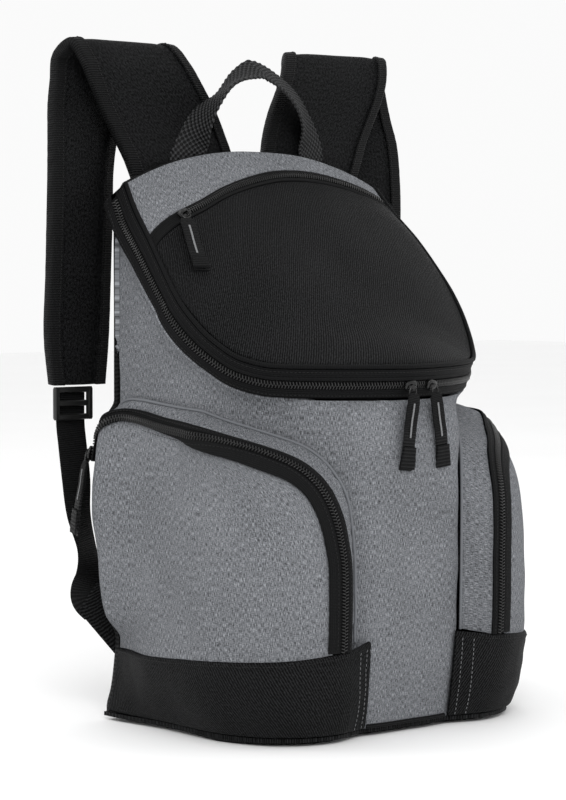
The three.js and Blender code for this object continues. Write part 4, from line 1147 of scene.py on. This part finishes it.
# Directions on a surface: along its first parameter, across it and out of it
def frameOn(surface, i, j):
    at = surface(i, j)
    along = (surface(min(1, i + 0.004), j) - surface(max(0, i - 0.004), j)).normalized()
    across = (surface(i, min(1, j + 0.004)) - surface(i, max(0, j - 0.004))).normalized()
    out = along.cross(across).normalized()
    if out.dot(at - heart) < 0:
        out = -out
    return at, along, out.cross(along), out


# Zip slider: its body over the coil, a crown on top and a wire bail that holds the pull
slider = {
    "length": 11, "width": 9, "height": 4.2, "bodyHeight": 3.024, "crownFoot": 2.31, "wire": 0.75,
    # place along the body, half width and height
    "outline": [(-0.5, 0.2, 0.5), (-0.47, 0.3, 0.68), (-0.4, 0.38, 0.78), (-0.28, 0.5, 0.85),
                (-0.1, 0.5, 0.88), (0.2, 0.42, 0.86), (0.4, 0.34, 0.8), (0.47, 0.28, 0.7), (0.5, 0.2, 0.5)],
    "section": [(-1, 0), (-1, 0.45), (-0.93, 0.66), (-0.75, 0.8), (-0.3, 0.84), (0.3, 0.84), (0.75, 0.8),
                (0.93, 0.66), (1, 0.45), (1, 0)],
    "crown": {"reach": 3.3, "rise": 1.9, "bar": [(-1.1, -0.35), (1.1, -0.35), (1.1, 0.4), (-1.1, 0.4)]},
    "bail": {"lift": 1.1, "tilt": 0.5, "ahead": 3.0, "reach": 4.4, "half": 3.2, "taper": 0.35},
}


def makeSlider(name, node, spot, lift, towards, turn=1):
    at, along, across, out = spot
    shell = Shell()
    shell.tube([[at + along * (turn * a * slider["length"]) + across * (w * half * slider["width"])
                 + out * (lift + h * high * slider["bodyHeight"]) for w, h in slider["section"]]
                for a, half, high in slider["outline"]])
    top = lift + slider["crownFoot"]
    # Crown: an arch of flat bar along the slider
    crown, rings = slider["crown"], []
    for k in range(13):
        angle = math.pi * k / 12
        centre = at + along * (turn * math.cos(angle) * crown["reach"])
        centre += out * (top + math.sin(angle) * crown["rise"])
        rings.append([centre + across * w + out * h for w, h in crown["bar"]])
    shell.tube(rings)
    # Bail: a wire loop from the crown towards the pull
    bail, wire = slider["bail"], []
    side = out.cross(towards).normalized()
    for k in range(25):
        angle = 2 * math.pi * k / 24
        high = top + bail["lift"] + bail["tilt"] * math.cos(angle)
        reach = bail["ahead"] - bail["reach"] * math.cos(angle)
        half = bail["half"] * math.sin(angle) * (1 - bail["taper"] * math.cos(angle))
        wire.append(at + out * high + towards * reach + side * half)
    roundWire(shell, wire, slider["wire"])
    shell.make(name, "sliderMetal", (node,), crease=50)


pull = {
    "width": 12, "thick": 1.3, "line": 1.5, "lineFrom": 0.17, "lineTo": 0.72, "ribPitch": 1.7, "rib": 0.1,
    "narrow": 0.72, "narrowShare": 0.09, "flareFrom": 0.8, "rows": 46,
    "section": [(-1, -0.4), (-0.94, -0.9), (-0.5, -1), (0.5, -1), (0.94, -0.9), (1, -0.4),
                (1, 0.4), (0.94, 0.9), (0.5, 1), (-0.5, 1), (-0.94, 0.9), (-1, 0.4)],
}


# Pull: webbing folded round the bail, two layers sewn together and turned over at the tip, with a pale line
def makePull(name, node, points, wide, out):
    curve = Line(points)
    shell, mark = Shell(), Shell()
    length = sum((curve.at((k + 1) / 40) - curve.at(k / 40)).length for k in range(40))

    def layer(start, end, lift, slide, thick, width, flare=0.0):
        rings, uvs = [], []
        for share in [lerp(start, end, k / pull["rows"]) for k in range(pull["rows"] + 1)]:
            at, way = curve.at(share), curve.way(share)
            across = (wide - way * wide.dot(way)).normalized()
            up = across.cross(way).normalized()
            if up.dot(out) < 0:
                up = -up
            spread = 1 + flare * ease((share - pull["flareFrom"]) / (1 - pull["flareFrom"]))
            w = width / 2 * spread * lerp(pull["narrow"], 1, ease(share / pull["narrowShare"]))
            h = thick / 2 + pull["rib"] * math.sin(2 * math.pi * share * length / pull["ribPitch"])
            centre = at + up * (lift + 0.35 * math.sin(share * 9 + slide)) + across * slide
            rings.append([centre + across * a * w + up * b * h for a, b in pull["section"]])
            uvs.append([(a * w / 1000, share * length / 1000) for a, _ in pull["section"]])
        return rings, uvs

    shell.tube(*layer(0, 0.93, 0.75, -0.4, pull["thick"], pull["width"]))
    shell.tube(*layer(0.02, 1, -0.8, 0.9, pull["thick"], pull["width"] * 0.96, 0.12))
    shell.tube(*layer(0.8, 0.985, 1.9, 0.1, pull["thick"], pull["width"] * 1.04, 0.18))
    shell.make(name, "webbing", (node,), crease=50)
    line, _ = layer(pull["lineFrom"], pull["lineTo"], 1.55, -0.2, 0.5, pull["line"])
    mark.tube(line)
    mark.make(f"{name}Line", "paleThread")


lidSliders = [{"name": "A", "node": "a", "turn": -0.0123, "pullY": -93.7, "lean": -8},
              {"name": "B", "node": "b", "turn": 0.0664, "pullY": -92.6, "lean": 8}]
pullLength = 58
coilHeight = 2.0


def makeLidPulls():
    def band(i, j):
        return bandPoint(2 * i - 1, lidBand["width"] * j)

    for row in lidSliders:
        spot = frameOn(band, (row["turn"] + 1) / 2, lidBand["coilAt"] / lidBand["width"])
        towards = Vector((row["lean"] / pullLength, -0.1, -1)).normalized()
        lift = 4 * gap + coilHeight + gap
        makeSlider(f"lidSlider{row['name']}", f"lid_slider_{row['node']}", spot, lift - 1.2, towards,
                   -1 if row["name"] == "A" else 1)
        start = Vector((spot[0].x, row["pullY"] - 1.2, spot[0].z - slider["width"] / 2 - 7 * gap))
        end = start + Vector((row["lean"], 1.2, -pullLength))
        middle = start.lerp(end, 0.5) + Vector((row["lean"] * 0.12, -1.4, 0))
        route = [start, start.lerp(middle, 0.5), middle, end]
        name, node = f"lidPull{row['name']}", f"lid_pull_{row['node']}"
        makePull(name, node, route, Vector((1, 0, 0)), Vector((0, -1, 0)))

    across, acrossEnd, pullFrom, pullTo = -0.71, -0.725, 6, 0.66

    def strip(i, j):
        return lidStrip(2 * i - 1, lerp(-1, 1, j) * lid["tape"] / 2)

    spot = frameOn(strip, (across + 1) / 2, 0.5)
    start = lidZipShare(across) + pullFrom / lidDepth(across)

    def surface(i, j):
        return lidPoint(lerp(across, acrossEnd, j) + (i - 0.5) * 0.05, lerp(start, pullTo, j))

    points, wide, out = [], None, None
    for j in (0, 1 / 3, 2 / 3, 1):
        at, along, _, up = frameOn(surface, 0.5, j)
        points.append(at + up * (gap + 3.2))
        wide, out = along, up
    towards = (points[1] - points[0]).normalized()
    makeSlider("lidPocketSlider", "lid_pocket_slider", spot, 0.6, towards)
    makePull("lidPocketPull", "lid_pocket_pull", points, spot[1], out)


def makePocketPull(name, side):
    def tape(i, j):
        return onSheet(zipPoint(i, tapeWide(i) * j))

    at, along, across, out = frameOn(tape, 0.012, pocket["coilAt"] / tapeWide(0))
    if along.z < 0:
        along = -along
    lift = 2 * gap + 1.2 + 2 * gap + coilHeight + gap
    start = at + out * (lift + slider["height"] / 2) - along * (slider["length"] / 2 + 3 * gap)
    end = start + Vector((-7, 5, -pullLength))
    spot = flip([at, along, across, out], side)
    start, end = flip([start, end], side)
    makeSlider(f"{name}PocketSlider", f"{name}_pocket_slider", spot, lift - 1.6, (end - start).normalized())
    bend = start.lerp(end, 0.45) + Vector((side * 2.0, -1.0, 0))
    makePull(f"{name}PocketPull", f"{name}_pocket_pull", [start, start.lerp(bend, 0.5), bend, end],
             Vector((side * -0.31, 0.95, 0)), Vector((side, 0.3, 0)))


# Back panel: padded, with stitched channels in its middle
backPanel = {"thick": 5, "earZ": 404, "pocketZ": 240, "padding": 4.4, "folds": [(40, 31, 0.5)],
             "channels": (70, 128, 186, 244, 302, 360), "channelHalf": 3.2, "meshHalf": 112, "gutterHalf": 12}


def backHalfWidth(z):
    pocketHalf = -pocketPoint(0, min(z, pocket["height"])).x
    lower = lerp(pocketHalf, compartment["halfWidth"], ease((z - backPanel["pocketZ"]) / 15))
    return lerp(lower, rim["backHalf"], hold((z - backPanel["earZ"]) / (rim["backZ"] - backPanel["earZ"])))


def makeBackPanel():
    iSteps, jSteps = steps(110, 280, 4), steps(170, 420, 4)

    def surface(i, j):
        t = 2 * i - 1
        z = lerp(compartment["footZ"] + gap, lidPoint(t, 0).z, j)
        return Vector((t * backHalfWidth(z), backY + gap, z))

    def heights(i, j):
        point = surface(i, j)
        edge, side = roundShare(i, 280, 7) * roundShare(j, 420, 7), abs(point.x)
        channel = min(abs(point.z - z) for z in backPanel["channels"]) / backPanel["channelHalf"]
        padded = 1 - 0.75 * math.exp(-channel ** 2) if side < backPanel["meshHalf"] else 1
        padded *= min(hold((side - backPanel["gutterHalf"]) / 9) + 0.3, 1)
        padded *= 0.35 + 0.65 * hold(abs(side - backPanel["meshHalf"]) / 4) * hold(side / 4)
        high = backPanel["thick"] + (backPanel["padding"] * padded - 1.2) * edge
        return high - 1.6 * (1 - edge) + folds(point, backPanel["folds"]) * edge, 0.0

    grid = [[surface(i, j) for j in jSteps] for i in iSteps]
    shell = Shell()
    outer = [[Vector((p.x, p.y + heights(iSteps[a], jSteps[b])[0], p.z)) for b, p in enumerate(line)]
             for a, line in enumerate(grid)]
    shell.slab(outer, grid, gridUvs(grid))
    shell.make("backPanel", "blackMesh", ("back_panel",), padding=0.6)


def bottomFront(part):
    seamPart, endPart = 0.3, 0.42
    if part < seamPart:
        return beside(gussetTurn * part / seamPart, 0, 0)
    if part < endPart:
        return beside(gussetTurn, 0, 0).lerp(pocketPoint(1, 0), (part - seamPart) / (endPart - seamPart))
    return pocketPoint(lerp(1, pocket["sideShare"], (part - endPart) / (1 - endPart)), 0)


def makeBottom():
    backEdge = backY + gap + backPanel["thick"]
    corner, middle = pocketPoint(0, 0), bottomFront(0)
    lift, thick, flatShare = 3.2, 3, 0.86

    def edge(share):
        if share < 0.02:
            return Vector((corner.x, backEdge, 0))
        return pocketPoint(share * pocket["sideShare"], 0)

    def half(part, v):
        ends = Vector((corner.x * part, backEdge, 0)).lerp(bottomFront(part), v)
        sides = Vector((0, lerp(backEdge, middle.y, v), 0)).lerp(edge(v), part)
        near = Vector((0, backEdge, 0)).lerp(Vector((corner.x, backEdge, 0)), part)
        return ends + sides - near.lerp(middle.lerp(bottomFront(1), part), v)

    def under(i, j):
        t = 2 * i - 1
        point = half(abs(t), j)
        reach = max(abs(t), abs(2 * j - 1))
        z = lift * ease((reach - flatShare) / (1 - flatShare))
        return Vector((-math.copysign(1, t) * point.x, point.y, z))

    lower = [[under(i, j) for j in evenly(40)] for i in evenly(80)]
    upper = [[Vector((p.x, p.y, p.z + thick)) for p in line] for line in lower]
    shell = Shell()
    shell.slab(lower, upper, gridUvs(lower))
    shell.make("bottomPanel", "blackTwill", ("bottom_panel",))

    reach, high = gussetTurn * 0.93, 3.2

    def strip(i, j):
        return beside(lerp(reach, -reach, i), compartment["footZ"] + gap + high * j, gap)

    clothPiece("frontBinding", strip, evenly(60), steps(4, high, 0.8),
               lambda i, j: (1.4 * roundShare(j, high) + 0.1, 0), "webbing", ("front_binding",))


# Carry handle: an arched loop of basket-woven webbing
handle = {
    "width": 32, "thick": 2.2, "halfSpan": 65, "crownZ": 513, "springZ": 436, "footZ": 408, "legShare": 0.1,
    "point": 1.4, "leanZ": 452, "leanRise": 45, "lean": 10, "weave": 4.6, "relief": 0.5,
    # share of its length, turn about its own line in degrees
    "twist": [(0, 0), (0.1, 6), (0.148, 22), (0.174, 42), (0.204, 66), (0.272, 95), (0.324, 105), (0.42, 76),
              (0.5, 57), (0.633, 52), (0.7, 46), (0.767, 38), (0.809, 24), (0.847, 14), (0.9, 12), (1, 0)],
}


def handleAt(share):
    part, side = min(share, 1 - share), -1 if share < 0.5 else 1
    y = backY + backPanel["thick"] + 2 * gap + handle["thick"] / 2
    if part < handle["legShare"]:
        z = lerp(handle["footZ"], handle["springZ"], part / handle["legShare"])
        return Vector((side * handle["halfSpan"], y, z))
    angle = math.pi / 2 * (part - handle["legShare"]) / (0.5 - handle["legShare"])
    z = lerp(handle["springZ"], handle["crownZ"], math.sin(angle))
    forward = handle["lean"] * ease((z - handle["leanZ"]) / handle["leanRise"])
    return Vector((side * handle["halfSpan"] * max(0, math.cos(angle)) ** handle["point"], y - forward, z))


def makeHandle():
    rows, cols, turns = 420, 36, 2 * math.pi / handle["weave"]
    shell, along, before = Shell(), 0, handleAt(0)
    rings, uvs = [], []
    for n in range(rows + 1):
        share = n / rows
        at = handleAt(share)
        along += (at - before).length
        before = at
        way = (handleAt(min(1, share + 0.01)) - handleAt(max(0, share - 0.01))).normalized()
        twist = math.radians(lookUp(handle["twist"], share))
        across = Vector((way.z, 0, -way.x)).normalized() * math.cos(twist) + Vector((0, -math.sin(twist), 0))
        across = (across - way * across.dot(way)).normalized()
        out = way.cross(across)
        ring, marks = [], []
        for face in (1, -1):
            for k in range(cols + 1):
                w = lerp(-1, 1, k / cols) * face
                wide = w * handle["width"] / 2
                edge = math.sqrt(max(0, 1 - max(0, (abs(w) - 0.9) / 0.1) ** 2))
                basket = math.sin(wide * turns) * math.sin(along * turns)
                high = face * (handle["thick"] / 2 * edge + handle["relief"] * basket * edge)
                ring.append(at + across * wide + out * high)
                marks.append((wide / 1000, along / 1000))
        rings.append(ring)
        uvs.append(marks)
    shell.tube(rings, uvs)
    shell.make("carryHandle", "basketWebbing", ("carry_handle",), crease=75)


# Shoulder straps: both edges of the right one
strap = {
    "thick": 7, "spread": 180, "stand": 140, "crownZ": 530, "endZ": 262, "inset": 1.4, "slope": 0.8,
    # height, inner, innerStand, outer and outerStand
    "path": [
        (0.534, 0.072, 0.797, 0.589, 0.797), (0.664, 0.092, 0.8, 0.671, 0.803),
        (0.739, 0.122, 0.825, 0.726, 0.825), (0.813, 0.165, 0.843, 0.786, 0.836),
        (0.888, 0.227, 0.864, 0.839, 0.836), (0.944, 0.273, 0.893, 0.871, 0.854),
        (0.994, 0.322, 0.957, 0.906, 0.911), (0.959, 0.378, 1.050, 0.939, 0.989),
        (0.888, 0.456, 1.071, 0.956, 0.982), (0.813, 0.525, 1.064, 0.976, 0.966),
        (0.731, 0.594, 1.043, 0.994, 0.932), (0.627, 0.636, 1.014, 1.003, 0.918),
        (0.515, 0.65, 0.996, 1.008, 0.918), (0.328, 0.664, 0.989, 1.008, 0.936),
        (0.142, 0.672, 0.996, 1.006, 0.961), (0, 0.683, 1.009, 0.961, 1.007),
    ],
}
binding = {"width": 11, "thick": 1.0, "stitchesAt": 2.6}


def strapLine(x, y):
    return Line([(row[x] * strap["spread"], row[y] * strap["stand"],
                  lerp(strap["endZ"], strap["crownZ"], row[0])) for row in strap["path"]])


strapInner, strapOuter = strapLine(1, 2), strapLine(3, 4)


def strapFrame(share):
    inner, outer = strapInner.at(share), strapOuter.at(share)
    along = (strapInner.way(share) + strapOuter.way(share)).normalized()
    across = (outer - inner).normalized()
    return inner.lerp(outer, 0.5), across, across.cross(along).normalized(), (outer - inner).length / 2


def ringsOf(frameAt, rows, section, side):
    rings, uvs, along, before = [], [], 0, None
    for k in range(rows + 1):
        at, across, out, half = frameAt(k / rows)
        along += (at - before).length if before else 0
        before = at
        points = section(half, k / rows)
        rings.append(flip([at + across * w + out * h for w, h in points], -side))
        uvs.append([(w / 1000, along / 1000) for w, h in points])
    return rings, uvs


def makeStrap(name, side):
    rows, seed = 240, 41.0 if side < 0 else 57.0
    full, slim = strap["thick"] / 2, strap["thick"] / 2 - strap["slope"]

    def core(half, share):
        edge, shoulder = half - strap["inset"], half - binding["width"]
        face = []
        for k in range(25):
            w = lerp(-1, 1, k / 24)
            wide = w * edge
            inside = hold((edge - abs(wide)) / (edge - shoulder) - 0.35)
            swell = 0.75 * ease((edge - abs(wide)) / 16 - 0.45)
            swell += 0.3 * noise.noise(Vector((wide / 30, share * 16, seed)))
            dip = -0.9 * math.exp(-((abs(wide) - shoulder + 0.8) / 1.6) ** 2)
            face.append((wide, lerp(slim, full, ease(inside * 1.6)) + (swell + dip) * ease(inside)))
        return face + [(w, -h) for w, h in reversed(face)]

    shell = Shell()
    shell.tube(*ringsOf(strapFrame, rows, core, side))
    shell.make(f"{name}ShoulderStrap", "strapCloth", (f"{name}_shoulder_strap",), crease=75, padding=0.7)
    thread = Shell()
    for place, way in (("inner", -1), ("outer", 1)):
        def tape(half, share):
            edge, shoulder = half - strap["inset"], half - binding["width"] + 0.6
            wave = 0.35 * noise.noise(Vector((share * 90, way * 3.0, seed)))
            lift = 0.9 + binding["thick"] + wave * 0.4
            top = [(shoulder + wave, full + 0.4), (shoulder + 0.4 + wave, full + lift),
                   (lerp(shoulder, edge, 0.5), lerp(full, slim, 0.5) + lift), (edge, slim + lift),
                   (edge + lift * 0.72, slim + lift * 0.6), (edge + lift, slim * 0.5)]
            under = [(w, -h) for w, h in reversed(top)]
            inner = [(shoulder, -full - 0.3), (edge + 0.5, -slim - 0.2), (edge + 0.5, slim + 0.2),
                     (shoulder, full + 0.3)]
            return [(way * w, h) for w, h in top + under + inner]

        shell = Shell()
        shell.tube(*ringsOf(strapFrame, rows * 2, tape, side))
        shell.make(f"{name}StrapBinding{place.capitalize()}", "binding", (f"{name}_strap_binding_{place}",),
                   crease=75)
        for face in (1, -1):
            points, normals = [], []
            for k in range(301):
                at, across, out, half = strapFrame(k / 300)
                inset = half - binding["width"] + binding["stitchesAt"]
                points.append(at + across * way * inset + out * face * (full + 1.75))
                normals.append(out * face)
            points, normals = flip(points, -side), flip(normals, -side)
            stitches(thread, points, normals, stitch["strap"], stitch["strapPitch"])
    thread.make(f"{name}StrapStitches", "blackThread")


# Ladder lock: a moulded frame with a bar between two slots
buckle = {
    "x": 152, "y": 141, "z": 247, "width": 36, "height": 26, "thick": 5,
    "bar": 4.5, "railThick": 4.6, "middleThick": 3.8,
    "section": [(-1, -0.5), (-0.7, -0.95), (0.7, -0.95), (1, -0.5),
                (1, 0.5), (0.7, 0.95), (-0.7, 0.95), (-1, 0.5)],
}


def makeBuckle(name, side):
    shell = Shell()
    width, height, bar = buckle["width"], buckle["height"], buckle["bar"]
    centre = Vector((side * buckle["x"], buckle["y"], buckle["z"]))

    def barBetween(start, end, wide, thick):
        way = (end - start).normalized()
        across = Vector((0, 1, 0))
        up = way.cross(across)
        rings = []
        for share, fat in ((0, 0.75), (0.06, 1), (0.94, 1), (1, 0.75)):
            at = start.lerp(end, share)
            tall, deep = up * (wide / 2 * fat), across * (thick / 2 * fat)
            rings.append([at + tall * a + deep * b for a, b in buckle["section"]])
        shell.tube(rings)

    def corner(x, z):
        return centre + Vector((x, 0, z))

    halfX, halfZ = width / 2, height / 2
    for x in (-halfX + bar / 2, halfX - bar / 2):
        barBetween(corner(x, -halfZ), corner(x, halfZ), bar, buckle["thick"])
    rail, middle = buckle["railThick"], buckle["middleThick"]
    for z, thick in ((-halfZ + bar / 2, rail), (0, middle), (halfZ - bar / 2, rail)):
        barBetween(corner(-halfX + 1, z), corner(halfX - 1, z), bar, thick)
    shell.make(f"{name}StrapBuckle", "bucklePlastic", (f"{name}_strap_buckle",), crease=40)


webbing = {
    "width": 27, "thick": 1.6, "spread": 152, "stand": 144.6, "topZ": 256,
    # spread, stand, height, then the direction of its width
    "path": [
        (1, 1, 1, 1, 0, 0), (1, 1, 0.9, 1, 0, 0),
        (0.995, 0.99, 0.84, 1, 0, 0), (0.989, 0.965, 0.734, 1, 0, 0),
        (0.99, 0.94, 0.625, 0.97, -0.2, 0), (0.96, 0.909, 0.516, 0.88, -0.4, -0.15),
        (0.955, 0.885, 0.4375, 0.76, -0.1, -0.55), (0.985, 0.862, 0.368, 0.6, 0.15, -0.78),
        (0.947, 0.826, 0.333, 0.6, 0.15, -0.78),
    ],
}
webbingCurve = Line([(a * webbing["spread"], b * webbing["stand"], c * webbing["topZ"])
                     for a, b, c, *_ in webbing["path"]])
webbingTurn = Line([row[3:] for row in webbing["path"]], 0.5)


def webbingFrame(share):
    way, wide = webbingCurve.way(share), webbingTurn.at(share)
    across = (wide - way * wide.dot(way)).normalized()
    return webbingCurve.at(share), across, across.cross(way), webbing["width"] / 2


def makeWebbing(name, side):
    def section(half, share):
        h = webbing["thick"] / 2 + 0.09 * math.sin(share * 1100)
        profile = (-1, 0.3), (-0.96, 0.9), (-0.5, 1), (0, 1), (0.5, 1), (0.96, 0.9), (1, 0.3)
        top = [(half * a, h * b) for a, b in profile]
        return top + [(w, -t) for w, t in reversed(top)]

    shell = Shell()
    shell.tube(*ringsOf(webbingFrame, 420, section, side))
    shell.make(f"{name}LowerWebbing", "webbing", (f"{name}_lower_webbing",), crease=75)


# Tab: foot and edge are the x, lowest z and highest z of its seams; low and high are the corners of its end
wing = {"thick": 2, "edgeThick": 0.6, "foot": (120, 42, 80), "edge": (134, 47, 88), "low": (159, 123.5, 84),
        "high": (143.5, 119.5, 106)}


def makeWing(name, side):
    y = backY + backPanel["thick"] + 2 * gap
    (footX, footLow, footHigh), (edgeX, edgeLow, edgeHigh) = wing["foot"], wing["edge"]
    lines = [
        (Vector((footX, y, footLow)), Vector((footX, y, footHigh))),
        (Vector((edgeX, y, edgeLow)), Vector((edgeX, y, edgeHigh))),
        (Vector(wing["low"]), Vector(wing["high"])),
    ]
    iSteps, jSteps = evenly(40), steps(14, 35, 2)

    def surface(i, j):
        k = min(1, int(i * 2))
        first, second = lines[k][0].lerp(lines[k][1], j), lines[k + 1][0].lerp(lines[k + 1][1], j)
        point = first.lerp(second, i * 2 - k)
        return Vector((side * point.x, point.y, point.z))

    inner = [[surface(i, j) for j in jSteps] for i in iSteps]
    fat = [lerp(wing["edgeThick"], wing["thick"], roundShare(j, 35, 2)) for j in jSteps]
    outer = [[p + Vector((0, t, 0)) for p, t in zip(line, fat)] for line in inner]
    shell = Shell()
    shell.slab(outer, inner, gridUvs(inner))
    shell.make(f"{name}BaseWing", "blackTwill", (f"{name}_base_wing",))


# Each finish with its material and its slot
finishes = {
    "greyCloth": (heatherPaint(), "grey_cloth"),
    "blackTwill": (twillPaint(), "black_twill"),
    "blackCloth": (tapePaint(), "black_cloth"),
    "blackMesh": (webbingPaint("backMesh", 0.0034, 0.02), "black_cloth"),
    "strapCloth": (strapPaint(), "strap_cloth"),
    "webbing": (webbingPaint("webbing", 0.0017, 0.015), "webbing"),
    "basketWebbing": (basketPaint(handle["weave"] / 1000), "webbing"),
    "binding": (webbingPaint("strapBinding", 0.0019, 0.013), "webbing"),
    "zipCoil": (hardPaint("zipCoil", 0.01, 0.32, 0.0, 300.0), "zip_coil"),
    "sliderMetal": (hardPaint("sliderMetal", 0.035, 0.24, 0.85, 500.0), "slider_metal"),
    "bucklePlastic": (hardPaint("bucklePlastic", 0.008, 0.4, 0.0, 200.0), "buckle_plastic"),
    "blackThread": (threadPaint("blackThread", 0.011), "webbing"),
    "paleThread": (threadPaint("paleThread", 0.2), "webbing"),
}

makeStudio()
makeBody()
makeLid()
makePiping()
makeLidBand()
makeLidPulls()
makeBackPanel()
makeBottom()
print("body made")
for name, side in (("left", 1), ("right", -1)):
    makePocket(name, side)
    makePocketPull(name, -side)
makeHandle()
for name, side in (("left", -1), ("right", 1)):
    makeStrap(name, side)
    makeBuckle(name, side)
    makeWebbing(name, side)
    makeWing(name, side)
print("straps made")
